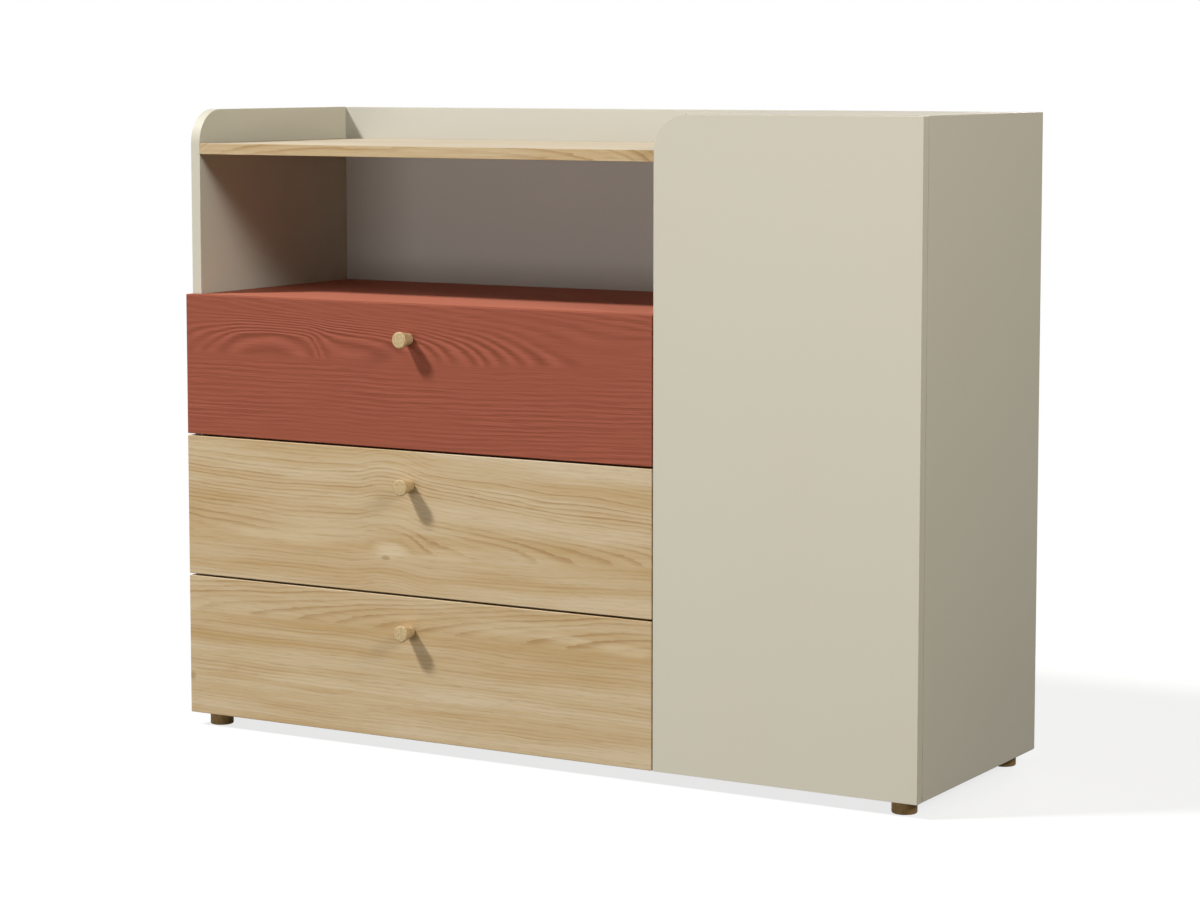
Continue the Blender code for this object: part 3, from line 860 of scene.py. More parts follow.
OAK_MIDDLE = OakVeneer(
    "oak_veneer_middle_front",
    Grain(
        Lies.UPRIGHT, FRONT_FACE_MM,
        (
            Bend(-600, 292, 0), Bend(-310, 291, 7), Bend(-236, 297, 3), Bend(-165, 290, 10),
            Bend(-127, 291, 14), Bend(-41, 292, 20), Bend(16, 293, 26), Bend(102, 297, 34),
            Bend(198, 302, 44),
        ),
        seed=1.7, ring_mm=5.2, spread_mm=36.0, crowding=1.0, fray_share=0.5,
    ),
    marks=(
        Mark(-430, 303, 240, 26, "#D6C5A3", 0.35), Mark(-236, 294, 72, 24, "#D8C8A8", 0.62),
        Mark(-243, 283, 16, 8, "#8F6E40", 0.5), Mark(-130, 294, 90, 26, "#D3BF9A", 0.35),
    ),
)
OAK_LOWER = OakVeneer(
    "oak_veneer_lower_front",
    Grain(
        Lies.UPRIGHT, FRONT_FACE_MM,
        (
            Bend(-600, 178, 60), Bend(-350, 176, 44), Bend(-98, 175, 24), Bend(-12, 175, 17),
            Bend(73, 175, 10), Bend(198, 173, 0),
        ),
        seed=8.4, ring_mm=5.2, spread_mm=36.0, crowding=1.0, fray_share=0.5,
    ),
    marks=(
        Mark(-597, 76, 16, 14, "#8F6E40", 0.45), Mark(60, 191, 90, 14, "#D6C5A3", 0.4),
        Mark(160, 184, 110, 18, "#D6C5A3", 0.4), Mark(-360, 88, 220, 18, "#D6C5A3", 0.35),
    ),
)
# Paler and greyer oak on the shelf than on the fronts: painted sheen of the top seen at a grazing angle, and
# painted light on this lit top
OAK_SHELF_PAINTED_SHEEN = OakVeneer(
    "oak_veneer_shelf_painted_sheen",
    Grain(Lies.FLAT, 876, (Bend(-600, 10, 40), Bend(-250, 30, 0), Bend(198, 60, 40)), seed=4.2),
    cream="#CFC2A9", straw="#BEAE92", late="#A99676", specular=0.4,
)
OAK_EDGE = OakVeneer(
    "oak_edge_strip",
    Grain(Lies.UPRIGHT, -170, (Bend(-600, 850, 30), Bend(-250, 845, 0), Bend(198, 850, 30)), seed=6.1),
)
TURNED_OAK = FineWood("oiled_turned_oak", "#CDB78F", "#AE9468", (1.6, 9.0, 3.4))
# Feet painted lighter than their own brown stain: painted light in place of the key light that the body keeps
# off them
FOOT_BROWN_PAINTED_LIGHT = FineWood("stained_beech_brown_painted_light", "#AA8B5C", "#82673F", (1.0, 1.0, 12.0))
DRAWER_BOARD = Melamine("melamine_drawer_board", "#D6D2C6", "#CCC7BA")
RUNNER_STEEL = PlatedSteel("zinc_plated_runner_steel", "#B9BBBD", "#96989B", 0.34, (1.2, 60.0, 1.2))
HINGE_NICKEL = PlatedSteel("nickel_plated_steel", "#C9C5BE", "#ABA79F", 0.24, (0.8, 6.0, 0.8), spangle_mm=2.5)
SCREW_ZINC = PlatedSteel("zinc_plated_screw", "#A3A39F", "#7F7F7B", 0.38, (0.6, 0.6, 0.6), spangle_mm=1.2)
LATCH_GREY = MouldedPlastic("moulded_plastic_grey", "#8D8A85", "#817E79")
BUMPER_CLEAR = MouldedPlastic(
    "clear_silicone_bumper", "#E4E4E0", "#DADAD6", roughness=0.25, transmission=0.6,
)


def put(name: str, data: bpy.types.ID) -> bpy.types.Object:
    """Put a new object in the scene.

    Args:
        name: The object's name.
        data: Its mesh, light or camera.

    Returns:
        The object.
    """
    thing = bpy.data.objects.new(name, data)
    bpy.context.scene.collection.objects.link(thing)
    return thing


def mesh_of(shape: bmesh.types.BMesh, name: str) -> Mesh:
    """Turn a worked shape into a mesh, and let the shape go.

    Args:
        shape: The shape.
        name: The mesh's name.

    Returns:
        The mesh.
    """
    mesh = bpy.data.meshes.new(name)
    shape.to_mesh(mesh)
    shape.free()
    return mesh


@dataclass(frozen=True)
class Lamp:
    """A soft box of the studio, aimed at the middle of the chest."""

    name: str
    place: tuple[float, float, float]
    width: float
    height: float
    watts: float
    colour: str = "#FFFFFF"

    def hang(self, aim: Vector) -> None:
        """Hang the lamp.

        Args:
            aim: The point that it faces.
        """
        light = bpy.data.lights.new(self.name, "AREA")
        light.shape = "RECTANGLE"
        light.size = self.width
        light.size_y = self.height
        light.energy = self.watts
        light.color = linear(self.colour)[:3]
        lamp = put(self.name, light)
        lamp.location = self.place
        lamp.rotation_euler = (aim - lamp.location).to_track_quat("-Z", "Y").to_euler()
        lamp.visible_camera = False
        LOG.info("lamp %s", self.name)


@dataclass(frozen=True)
class Studio:
    """A white floor without an end, and soft boxes round the chest."""

    floor_half: float = 9.0
    floor_glow: float = 0.78  # share of the floor that is white by itself, seen by the camera
    glow_from: float = 1.1  # from here on the floor turns all white by itself
    glow_to: float = 2.2
    floor_white: str = "#FCFCFB"
    floor_bounce: str = "#6A6452"  # what the floor throws back on the chest
    ambient: float = 0.02
    lamps: tuple[Lamp, ...] = (
        Lamp("key_from_upper_left", (-5.44, -4.72, 8.36), 1.2, 1.2, 1250),
        Lamp("fill_from_right", (4.4, -1.9, 2.95), 1.3, 0.9, 103),
        Lamp("strip_at_right", (2.2, -0.7, 2.2), 0.7, 0.5, 10, "#FFEFD8"),
        Lamp("low_front_softbox", (-1.0, -5.1, 0.6), 2.6, 1.0, 71, "#F1F0F6"),
        Lamp("back_softbox", (-0.4, 4.6, 1.0), 1.7, 1.2, 130),
    )

    def seen_directly(self, tree: Tree) -> Node:
        """Add a value of one where a ray comes from the camera, off a gloss or through a clear piece.

        Args:
            tree: The tree of the floor or the world.

        Returns:
            The value.
        """
        path = add_node(tree, "ShaderNodeLightPath").outputs
        gloss = add_node(
            tree, "ShaderNodeMath", {0: path["Is Camera Ray"], 1: path["Is Glossy Ray"]}, operation="MAXIMUM",
        )
        return add_node(
            tree, "ShaderNodeMath", {0: gloss, 1: path["Is Transmission Ray"]}, operation="MAXIMUM",
        )

    def lay_floor(self) -> None:
        """Lay the floor, white to the eye and quieter in what it throws back, with the chest's shadow."""
        shape = bmesh.new()
        bmesh.ops.create_grid(shape, x_segments=1, y_segments=1, size=self.floor_half)
        floor = put("studio_floor", mesh_of(shape, "studio_floor"))
        material = bpy.data.materials.new("studio_floor_white")
        material.use_nodes = True
        tree = material.node_tree
        tree.nodes.clear()
        lit = add_node(tree, "ShaderNodeBsdfDiffuse", {"Color": linear(self.floor_white)})
        glow = add_node(tree, "ShaderNodeEmission", {"Color": WHITE, "Strength": 1.0})
        place = add_node(tree, "ShaderNodeTexCoord").outputs["Object"]
        distance = add_node(tree, "ShaderNodeVectorMath", {0: place}, operation="LENGTH").outputs["Value"]
        share = add_node(
            tree, "ShaderNodeMapRange",
            {"Value": distance, "From Min": self.glow_from, "From Max": self.glow_to,
             "To Min": self.floor_glow, "To Max": 1.0},
        )
        seen = add_node(tree, "ShaderNodeMixShader", {0: share, 1: lit, 2: glow})
        bounce = add_node(tree, "ShaderNodeBsdfDiffuse", {"Color": linear(self.floor_bounce)})
        both = add_node(tree, "ShaderNodeMixShader", {0: self.seen_directly(tree), 1: bounce, 2: seen})
        add_node(tree, "ShaderNodeOutputMaterial", {0: both})
        floor.data.materials.append(material)
        floor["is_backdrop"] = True
        LOG.info("stage studio_floor")

    def light_world(self) -> None:
        """Make it white all round to the eye, with a little even light on the chest."""
        world = bpy.data.worlds.new("studio")
        world.use_nodes = True
        tree = world.node_tree
        tree.nodes.clear()
        soft = add_node(tree, "ShaderNodeBackground", {"Color": WHITE, "Strength": self.ambient})
        white = add_node(tree, "ShaderNodeBackground", {"Color": WHITE, "Strength": 1.0})
        both = add_node(tree, "ShaderNodeMixShader", {0: self.seen_directly(tree), 1: soft, 2: white})
        add_node(tree, "ShaderNodeOutputWorld", {0: both})
        bpy.context.scene.world = world

    def set_up(self, aim: Vector) -> None:
        """Set up the floor, the world and the lamps.

        Args:
            aim: The point that the lamps face.
        """
        self.lay_floor()
        self.light_world()
        for lamp in self.lamps:
            lamp.hang(aim)


@dataclass(frozen=True)
class PhotoCamera:
    """The view of the photograph: from the front right, at the height of the top, with a long lens."""

    lens_mm: float = 94.02
    sensor_mm: float = 36.0
    shift_up: float = -0.06
    yaw_deg: float = 30.406
    pitch_deg: float = 5.653
    place: tuple[float, float, float] = (2.2922, -3.8956, 0.9876)

    def set_up(self) -> None:
        """Put the camera in the scene."""
        data = bpy.data.cameras.new("photo_camera")
        data.lens = self.lens_mm
        data.sensor_width = self.sensor_mm
        data.shift_y = self.shift_up
        camera = put("photo_camera", data)
        camera.location = self.place
        camera.rotation_euler = (math.radians(90 - self.pitch_deg), 0.0, math.radians(self.yaw_deg))
        bpy.context.scene.camera = camera
        LOG.info("camera photo_camera")


@cache
def round_shading() -> Tree:
    """Build the modifier that shades the rounded faces of the frame smooth and keeps its corners sharp.

    Returns:
        The modifier's tree.
    """
    tree = bpy.data.node_groups.new("round_shading", "GeometryNodeTree")
    tree.interface.new_socket("Geometry", in_out="INPUT", socket_type="NodeSocketGeometry")
    tree.interface.new_socket("Geometry", in_out="OUTPUT", socket_type="NodeSocketGeometry")
    start = add_node(tree, "NodeGroupInput")
    plain = add_node(tree, "GeometryNodeRemoveAttribute", {"Geometry": start, "Name": "custom_normal"})
    smooth = add_node(
        tree, "GeometryNodeSetShadeSmooth", {"Geometry": plain, "Shade Smooth": True}, domain="FACE",
    )
    angle = add_node(tree, "GeometryNodeInputMeshEdgeAngle")
    corner = add_node(
        tree, "ShaderNodeMath", {0: angle, 1: math.radians(SHARP_DEG)}, operation="GREATER_THAN",
    )
    sharp = add_node(
        tree, "GeometryNodeSetShadeSmooth", {"Geometry": smooth, "Selection": corner, "Shade Smooth": False},
        domain="EDGE",
    )
    add_node(tree, "NodeGroupOutput", {0: sharp})
    return tree


def shade_round(piece: bpy.types.Object) -> None:
    """Shade the rounded faces of a piece smooth, with its flat faces left flat.

    Args:
        piece: The piece.
    """
    shading = piece.modifiers.new("round_shading", "NODES")
    shading.node_group = round_shading()
    flat = piece.modifiers.new("flat_faces", "WEIGHTED_NORMAL")
    flat.keep_sharp = True


def facing(point: Vector | Sequence[float], way: Vector) -> Matrix:
    """A place at a point whose own Z looks a given way."""
    return Matrix.Translation(point) @ way.to_track_quat("Z", "Y").to_matrix().to_4x4()


def turn(profile: Sequence[tuple[float, float]], steps: int = 24) -> Mesh:
    """Turn an outline round Z into a closed body.

    Args:
        profile: Radius and height of its points in millimetres, from one end of the axis to the other.
        steps: Facets round the axis.

    Returns:
        The turned mesh.
    """
    shape = bmesh.new()
    points = [shape.verts.new((radius * MM, 0.0, height * MM)) for radius, height in profile]
    edges = [shape.edges.new(pair) for pair in zip(points, points[1:])]
    bmesh.ops.spin(
        shape, geom=points + edges, cent=(0, 0, 0), axis=(0, 0, 1), angle=math.tau, steps=steps,
        use_merge=True,
    )
    bmesh.ops.remove_doubles(shape, verts=shape.verts, dist=WELD)
    bmesh.ops.recalc_face_normals(shape, faces=shape.faces)
    return mesh_of(shape, "turned")


def hidden_tool(name: str, mesh: Mesh) -> bpy.types.Object:
    """Put a cutter in the scene that no picture shows.

    Args:
        name: The cutter's name.
        mesh: Its shape.

    Returns:
        The cutter.
    """
    tool = put(name, mesh)
    tool.hide_render = True
    tool.display_type = "WIRE"
    return tool


def cut_away(target: bpy.types.Object, tool: bpy.types.Object) -> None:
    """Cut a tool's shape out of an object with a modifier.

    Args:
        target: The object.
        tool: The cutter.
    """
    cut = target.modifiers.new(tool.name, "BOOLEAN")
    cut.operation = "DIFFERENCE"
    cut.object = tool


def repeat(mesh: Mesh, places: Sequence[Matrix]) -> Mesh:
    """Set copies of a mesh at several places as one mesh of separate bodies.

    Args:
        mesh: The mesh to copy.
        places: Where each copy goes.

    Returns:
        The mesh with all copies.
    """
    shape = bmesh.new()
    for place in places:
        before = len(shape.verts)
        shape.from_mesh(mesh)
        shape.verts.ensure_lookup_table()
        bmesh.ops.transform(shape, matrix=place, verts=shape.verts[before:])
    return mesh_of(shape, "repeated")


@dataclass(frozen=True)
class Button:
    """A low round piece with an eased edge, such as a cap, a pin or a bumper, standing on its Z."""

    radius_mm: float
    rise_mm: float
    side_mm: float  # height of its straight side
    ease_mm: float  # how far its top is set back

    def mesh(self) -> Mesh:
        """The turned piece, with the surface that it sits on at zero."""
        radius, rise = self.radius_mm, self.rise_mm
        return turn([(0, 0), (radius, 0), (radius, self.side_mm), (radius - self.ease_mm, rise), (0, rise)])


@dataclass(frozen=True)
class ScrewHead:
    """Domed or flat head of a screw with a cross recess, standing on its Z. Sizes without a unit are shares
    of its radius or its rise."""

    radius_mm: float
    rise_mm: float
    sunk_mm: float = 0.0  # depth of the cone under a flat head
    cone: float = 0.45  # radius of the cone's end
    rim_mm: float = 0.3  # straight side over the cone
    skirt: float = 0.35  # straight side of a domed head
    shoulder: tuple[float, float] = (0.93, 0.7)  # radius and height of the dome's bend
    dome: float = 0.62  # radius of the flat on the dome
    washer_mm: float = 0.0  # radius of a washer under it
    washer_rise_mm: float = 0.8
    washer_side: float = 0.7
    washer_ease_mm: float = 0.2
    slot_width: float = 0.24
    slot_length: float = 1.15
    slot_depth: float = 0.45
    slot_reach: float = 0.6  # how far the recess may go into the cone

    def outline(self) -> list[tuple[float, float]]:
        """Draw the outline that the head is turned from.

        Returns:
            Radius and height of its points in millimetres, from the foot to the top.
        """
        radius, rise, sunk = self.radius_mm, self.rise_mm, self.sunk_mm
        if sunk:
            return [
                (0, -sunk), (radius * self.cone, -sunk), (radius, rise - self.rim_mm), (radius, rise),
                (0, rise),
            ]
        bend, bend_rise = self.shoulder
        head = [
            (radius, 0), (radius, rise * self.skirt), (radius * bend, rise * bend_rise),
            (radius * self.dome, rise), (0, rise),
        ]
        edge, foot = self.washer_mm, self.washer_rise_mm
        if not edge:
            return [(0, 0), *head]
        washer = [(0, 0), (edge, 0), (edge, foot * self.washer_side), (edge - self.washer_ease_mm, foot)]
        return washer + [(across, up + foot) for across, up in head]

    def mesh(self) -> Mesh:
        """Turn the head and cut its recess.

        Returns:
            The head, with the surface that it sits on at zero.
        """
        outline = self.outline()
        top = outline[-1][1]
        blank = put("screw_blank", turn(outline))
        width = self.radius_mm * self.slot_width
        length = self.radius_mm * self.slot_length
        depth = min(self.radius_mm * self.slot_depth, self.rise_mm + self.sunk_mm * self.slot_reach)
        tools = []
        for sides in ((length, width), (width, length)):
            slot = bmesh.new()
            bmesh.ops.create_cube(slot, size=1.0)
            bmesh.ops.scale(slot, vec=Vector((*sides, 2 * depth)) * MM, verts=slot.verts)
            bmesh.ops.translate(slot, vec=(0, 0, top * MM), verts=slot.verts)
            tools.append(hidden_tool("cross_slot", mesh_of(slot, "cross_slot")))
            cut_away(blank, tools[-1])
        graph = bpy.context.evaluated_depsgraph_get()
        head = bpy.data.meshes.new_from_object(blank.evaluated_get(graph))
        for thing in (blank, *tools):
            bpy.data.objects.remove(thing, do_unlink=True)
        return head


@dataclass
class SubAssembly:
    """A part of the chest that a maker fits as one, on one body of the frame."""

    nodes: Mapping[str, bpy.types.Object]
    body: str

    def dress(self, name: str, finish: Finish, holes: bpy.types.Object | None = None) -> None:
        """Give a node of the frame its finish, its holes and its shading.

        Args:
            name: The node.
            finish: What it is finished with.
            holes: A tool that is cut out of it.
        """
        node = self.nodes[name]
        node.material_slots[0].material = finish.material()
        weld = node.modifiers.new("weld", "WELD")
        weld.merge_threshold = WELD
        if holes is not None:
            cut_away(node, holes)
        shade_round(node)
        LOG.info("node %s in %s", name, finish.name)

    def fit(self, name: str, mesh: Mesh, places: Sequence[Matrix], finish: Finish, slot: str) -> None:
        """Fit one or more copies of a small piece.

        Args:
            name: Name of the piece.
            mesh: One copy.
            places: Where the copies go.
            finish: What it is finished with.
            slot: The record's material slot; not used.
        """
        joined = repeat(mesh, places)
        joined.name = name
        joined.materials.clear()
        joined.materials.append(finish.material())
        piece = put(name, joined)
        shade_round(piece)
        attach(piece, self.body)
        LOG.info("piece %s, %d times", name, len(places))


@dataclass
class Carcass(SubAssembly):
    """Boards of the body with their shelves, back and feet."""

    back_screw: ScrewHead = ScrewHead(3.4, -0.05, sunk_mm=3.0)
    screw_rows: int = 5
    screw_columns: int = 3
    row_margin_mm: float = 30.0  # the rows up the back are this much shorter than the niche floor is high
    sheet_lap_mm: float = 4.0
    sink_play_mm: float = 0.2  # a countersink is this much wider than the head
    sink_relief_mm: float = 0.4  # and this much deeper
    sink_floor: float = 0.5  # width of its floor, as a share of the head
    pin: Button = Button(radius_mm=2.5, rise_mm=7.5, side_mm=6.9, ease_mm=0.5)
    pin_play_mm: float = 0.1
    pin_inset_mm: float = 37.0
    bore_step_mm: float = 32.0
    bore_steps: int = 3
    bore_depth_mm: float = 11.0
    bore_facets: int = 16
    cap: Button = Button(radius_mm=8.5, rise_mm=0.8, side_mm=0.4, ease_mm=0.6)
    cap_inset_mm: float = 34.0
    cap_shares: tuple[float, ...] = (0.4, 0.85)  # of the board's depth
    strip_mm: float = 0.4
    strip_ease_mm: float = 0.25
    strip_play_mm: float = 0.2

    def edge_strip(self) -> Mesh:
        """Shape the oak strip on the front edge of the shelf, with its long corners eased.

        Returns:
            The strip, in its place.
        """
        low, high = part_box("oak_shelf")
        ease, play = self.strip_ease_mm * MM, self.strip_play_mm * MM
        face = low.y - self.strip_mm * MM
        outline = [
            (low.y, low.z), (face + ease, low.z), (face, low.z + ease), (face, high.z - ease),
            (face + ease, high.z), (low.y, high.z),
        ]
        shape = bmesh.new()
        ends = [[shape.verts.new((x, y, z)) for y, z in outline] for x in (low.x + play, high.x - play)]
        shape.faces.new(ends[0])
        shape.faces.new(reversed(ends[1]))
        for index in range(len(outline)):
            after = (index + 1) % len(outline)
            shape.faces.new((ends[0][index], ends[1][index], ends[1][after], ends[0][after]))
        bmesh.ops.recalc_face_normals(shape, faces=shape.faces)
        return mesh_of(shape, "edge_strip")

    def back_screw_places(self) -> list[Matrix]:
        """Place the screws that hold the back to the boards in front of it.

        Returns:
            Where the screws go.
        """
        low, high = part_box("back_panel")
        boards = ("divider_panel", "oak_shelf", "niche_floor_panel", "bottom_panel", "cabinet_top_panel")
        divider, shelf, floor, bottom, top = (sum(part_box(name), Vector()) / 2 for name in boards)
        lap = self.sheet_lap_mm * MM
        height = floor.z - self.row_margin_mm * MM
        spots = [
            (x, bottom.z + (row + 0.5) / self.screw_rows * height)
            for x in (low.x + lap, divider.x, high.x - lap) for row in range(self.screw_rows)
        ]
        levels = (
            (bottom.z, low.x, high.x), (floor.z, low.x, divider.x), (shelf.z, low.x, divider.x),
            (top.z, divider.x, high.x),
        )
        spots += [
            (start + (column + 0.5) / self.screw_columns * (end - start), z)
            for z, start, end in levels for column in range(self.screw_columns)
        ]
        return [facing((x, high.y, z), BACK) for x, z in spots]

    def pin_places(self) -> tuple[list[Matrix], list[Matrix]]:
        """Place the shelf pins, and the empty bores above and below them.

        Returns:
            Where the pins and the bores go.
        """
        divider_low, divider_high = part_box("divider_panel")
        board = divider_high.x - divider_low.x
        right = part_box("right_side_panel")[1].x - board
        inset = self.pin_inset_mm * MM
        pins, bores = [], []
        for level in ("lower", "upper"):
            low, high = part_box(f"cabinet_shelf_{level}")
            height = low.z - (self.pin.radius_mm + self.pin_play_mm) * MM
            for y in (low.y + inset, high.y - inset):
                for x, way in ((divider_high.x, Vector((1, 0, 0))), (right, Vector((-1, 0, 0)))):
                    pins.append(facing((x, y, height), way))
                    bores += [
                        facing((x, y, height + step * self.bore_step_mm * MM), way)
                        for step in range(-self.bore_steps, self.bore_steps + 1) if step
                    ]
        return pins, bores

    def cap_places(self) -> list[Matrix]:
        """Place the caps over the joints under the oak shelf and under the cabinet top.

        Returns:
            Where the caps go.
        """
        places = []
        inset = self.cap_inset_mm * MM
        for name in ("oak_shelf", "cabinet_top_panel"):
            low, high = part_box(name)
            for x in (low.x + inset, high.x - inset):
                for share in self.cap_shares:
                    places.append(facing((x, low.y + share * (high.y - low.y), low.z), DOWN))
        return places

    def build(self) -> None:
        """Dress the boards and fit what holds them."""
        screws = self.back_screw_places()
        radius = self.back_screw.radius_mm
        rim = radius + self.sink_play_mm
        deep = -self.back_screw.sunk_mm - self.sink_relief_mm
        sink = turn([
            (0, deep), (radius * self.sink_floor, deep), (rim, 0), (rim, TOOL_OVER_MM), (0, TOOL_OVER_MM),
        ])
        countersinks = hidden_tool("back_countersinks", repeat(sink, screws))
        self.fit("back_screws", self.back_screw.mesh(), screws, SCREW_ZINC, "runner_steel")
        pins, bores = self.pin_places()
        self.fit("shelf_pins", self.pin.mesh(), pins, HINGE_NICKEL, "hinge_nickel")
        radius, deep = self.pin.radius_mm, -self.bore_depth_mm
        bore = turn(
            [(0, deep), (radius, deep), (radius, TOOL_OVER_MM), (0, TOOL_OVER_MM)], steps=self.bore_facets,
        )
        line_boring = hidden_tool("line_boring", repeat(bore, bores))
        self.fit("joint_caps", self.cap.mesh(), self.cap_places(), LATCH_GREY, "latch_plastic")
        self.fit("oak_shelf_edge_strip", self.edge_strip(), [Matrix.Identity(4)], OAK_EDGE, "oak_veneer")
        for name in ("left_side_panel", "bottom_panel", "cabinet_shelf_lower", "cabinet_shelf_upper"):
            self.dress(name, GREIGE)
        # The top and the corner post get the greige with painted shade
        for name in ("cabinet_top_panel", "cabinet_corner_post"):
            self.dress(name, GREIGE_TOP_PAINTED_SHADE)
        for name in ("divider_panel", "right_side_panel"):
            self.dress(name, GREIGE, line_boring)
        # The back gets the greige with painted shade
        self.dress("back_panel", GREIGE_BACK_PAINTED_SHADE, countersinks)
        # The shelf gets the oak with painted sheen
        self.dress("oak_shelf", OAK_SHELF_PAINTED_SHEEN)
        # The niche floor gets the terracotta with painted light
        self.dress("niche_floor_panel", TERRACOTTA_FLOOR_PAINTED_LIGHT)
        # The feet get the brown with painted light
        for corner in ("front_left", "front_right", "rear_left", "rear_right"):
            self.dress(f"foot_{corner}", FOOT_BROWN_PAINTED_LIGHT)


@dataclass
class Drawer(SubAssembly):
    """One drawer: front with its knob, box and runners."""

    front_finish: Finish
    knob_screw: ScrewHead = ScrewHead(4.0, 2.2, washer_mm=6.5)
    runner_screw: ScrewHead = ScrewHead(3.2, 1.4)
    runner_web_mm: float = 1.2
    runner_screw_shares: tuple[float, ...] = (0.1, 0.48, 0.88)  # of the runner's length
    cam: ScrewHead = ScrewHead(7.5, 0.6, dome=0.9)
    cam_inset_mm: float = 34.0
    cam_shares: tuple[float, ...] = (0.3, 0.75)  # of the side's height
    bumper: Button = Button(radius_mm=3.0, rise_mm=0.5, side_mm=0.2, ease_mm=0.5)
    bumper_inset_mm: float = 3.6
    bumper_ends_mm: float = 26.0

    def fit_knob_screw(self) -> None:
        """Fit the screw that holds the knob from behind the front."""
        knob_low, knob_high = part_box(f"{self.body}_knob")
        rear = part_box(f"{self.body}_front")[1].y
        middle = (knob_low + knob_high) / 2
        place = facing((middle.x, rear, middle.z), BACK)
        self.fit(f"{self.body}_knob_screw", self.knob_screw.mesh(), [place], SCREW_ZINC, "runner_steel")

    def fit_side_fittings(self) -> None:
        """Fit the screws of the runners and the cams that pull the box together."""
        screws, cams = [], []
        for side, way in (("left", -1), ("right", 1)):
            low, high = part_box(f"{self.body}_{side}_inner_runner")
            outer = (high.x if way < 0 else low.x) + way * self.runner_web_mm * MM
            for share in self.runner_screw_shares:
                spot = (outer, low.y + share * (high.y - low.y), (low.z + high.z) / 2)
                screws.append(facing(spot, Vector((way, 0, 0))))
            low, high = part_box(f"{self.body}_{side}_side")
            inner = high.x if way < 0 else low.x
            for y in (low.y + self.cam_inset_mm * MM, high.y - self.cam_inset_mm * MM):
                for share in self.cam_shares:
                    spot = (inner, y, low.z + share * (high.z - low.z))
                    cams.append(facing(spot, Vector((-way, 0, 0))))
        self.fit(f"{self.body}_runner_screws", self.runner_screw.mesh(), screws, SCREW_ZINC, "runner_steel")
        self.fit(f"{self.body}_cams", self.cam.mesh(), cams, SCREW_ZINC, "runner_steel")

    def fit_bumpers(self) -> None:
        """Fit the bumpers that the front closes on."""
        low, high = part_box(f"{self.body}_front")
        inset, ends = self.bumper_inset_mm * MM, self.bumper_ends_mm * MM
        places = [
            facing((x, high.y, z), BACK)
            for x in (low.x + inset, high.x - inset) for z in (low.z + ends, high.z - ends)
        ]
        self.fit(f"{self.body}_bumpers", self.bumper.mesh(), places, BUMPER_CLEAR, "latch_plastic")

    def build(self) -> None:
        """Dress the drawer and fit its small pieces."""
        self.dress(f"{self.body}_front", self.front_finish)
        self.dress(f"{self.body}_knob", TURNED_OAK)
        for board in ("left_side", "right_side", "back", "bottom"):
            self.dress(f"{self.body}_{board}", DRAWER_BOARD)
        for side in ("left", "right"):
            for member in ("outer", "middle", "inner"):
                self.dress(f"{self.body}_{side}_{member}_runner", RUNNER_STEEL)
        self.fit_knob_screw()
        self.fit_side_fittings()
        self.fit_bumpers()


@dataclass
class Hinges(SubAssembly):
    """The two cup hinges, fixed to the right side."""

    plate_screw: ScrewHead = ScrewHead(3.6, 1.5)
    plate_screw_spread_mm: float = 18.0
    plate_from_tail_mm: float = 19.7
    plate_thickness_mm: float = 2.5
    setting_screw: ScrewHead = ScrewHead(2.8, 0.4, dome=0.9)
    setting_screws_from_nose_mm: tuple[float, ...] = (26.0, 37.0)

    def build(self) -> None:
        """Dress cups, links and arms, and fit the screws."""
        plate_places, setting_places = [], []
        inwards = Vector((-1, 0, 0))
        for level in ("lower", "upper"):
            for piece in ("arm", "link", "cup"):
                self.dress(f"hinge_{piece}_{level}", HINGE_NICKEL)
            low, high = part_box(f"hinge_arm_{level}")
            middle = (low.z + high.z) / 2
            plate = high.x - self.plate_thickness_mm * MM
            y = high.y - self.plate_from_tail_mm * MM
            for way in (-1, 1):
                z = middle + way * self.plate_screw_spread_mm * MM
                plate_places.append(facing((plate, y, z), inwards))
            for distance in self.setting_screws_from_nose_mm:
                setting_places.append(facing((low.x, low.y + distance * MM, middle), inwards))
        self.fit("hinge_plate_screws", self.plate_screw.mesh(), plate_places, SCREW_ZINC, "hinge_nickel")
        setting = self.setting_screw.mesh()
        self.fit("hinge_setting_screws", setting, setting_places, SCREW_ZINC, "hinge_nickel")


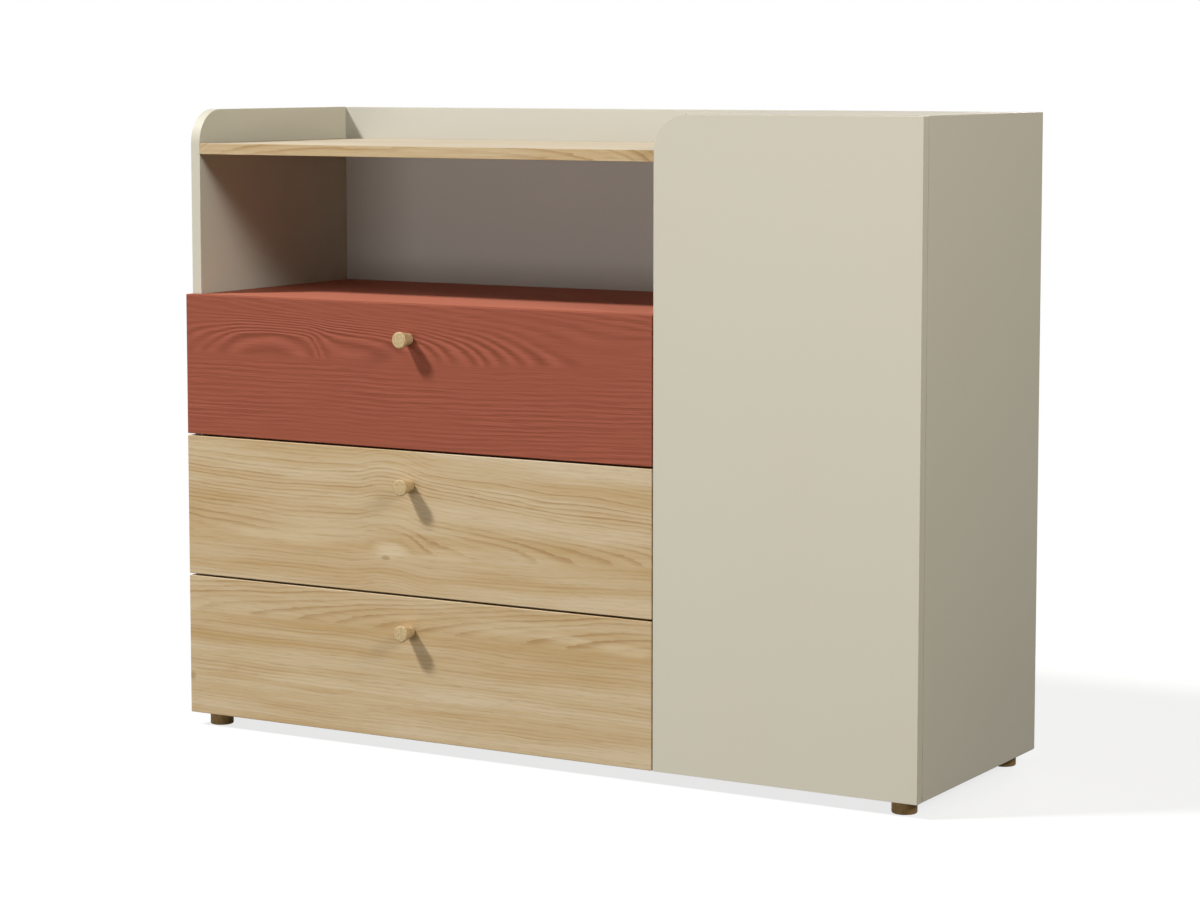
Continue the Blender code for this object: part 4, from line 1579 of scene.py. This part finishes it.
@dataclass
class Door(SubAssembly):
    """The cupboard door with its bumpers and the plate that the latch pushes on."""

    bumper: Button = Button(radius_mm=3.0, rise_mm=0.5, side_mm=0.2, ease_mm=0.5)
    bumper_inset_mm: float = 3.6
    bumper_ends_mm: float = 90.0
    striker: Button = Button(radius_mm=7.0, rise_mm=0.15, side_mm=0.09, ease_mm=0.15)

    def build(self) -> None:
        """Dress the door and fit its small pieces."""
        self.dress("door_panel", GREIGE)
        low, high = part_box("door_panel")
        left, ends = low.x + self.bumper_inset_mm * MM, self.bumper_ends_mm * MM
        places = [facing((left, high.y, z), BACK) for z in (low.z + ends, high.z - ends)]
        self.fit("door_bumpers", self.bumper.mesh(), places, BUMPER_CLEAR, "latch_plastic")
        latch_low, latch_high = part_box("push_latch_plunger")
        middle = (latch_low + latch_high) / 2
        place = facing((middle.x, high.y, middle.z), BACK)
        self.fit("latch_striker", self.striker.mesh(), [place], HINGE_NICKEL, "hinge_nickel")


@dataclass
class Latch(SubAssembly):
    """The push latch under the cabinet top."""

    screw: ScrewHead = ScrewHead(2.9, 1.2)
    screw_shares: tuple[float, ...] = (0.35, 0.8)  # of the body's length

    def build(self) -> None:
        """Dress the latch and fit its screws."""
        self.dress("push_latch_body", LATCH_GREY)
        self.dress("push_latch_plunger", LATCH_GREY)
        low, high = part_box("push_latch_body")
        x = (low.x + high.x) / 2
        places = [
            facing((x, low.y + share * (high.y - low.y), low.z), DOWN) for share in self.screw_shares
        ]
        self.fit("latch_screws", self.screw.mesh(), places, SCREW_ZINC, "latch_plastic")


def main() -> None:
    """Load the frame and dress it."""
    logging.basicConfig(level=logging.INFO, format="%(name)s: %(message)s")
    for thing in list(bpy.data.objects):
        bpy.data.objects.remove(thing, do_unlink=True)
    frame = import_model()
    cad_low, cad_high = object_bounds()
    bpy.context.scene.view_settings.view_transform = "Standard"
    Studio().set_up((cad_low + cad_high) / 2)
    PhotoCamera().set_up()
    nodes = frame["nodes"]
    Carcass(nodes, "carcass").build()
    Drawer(nodes, "lower_drawer", OAK_LOWER).build()
    Drawer(nodes, "middle_drawer", OAK_MIDDLE).build()
    Drawer(nodes, "upper_drawer", TERRACOTTA_FRONT).build()
    Hinges(nodes, "carcass").build()
    Door(nodes, "door").build()
    Latch(nodes, "carcass").build()


if __name__ == "__main__":
    main()
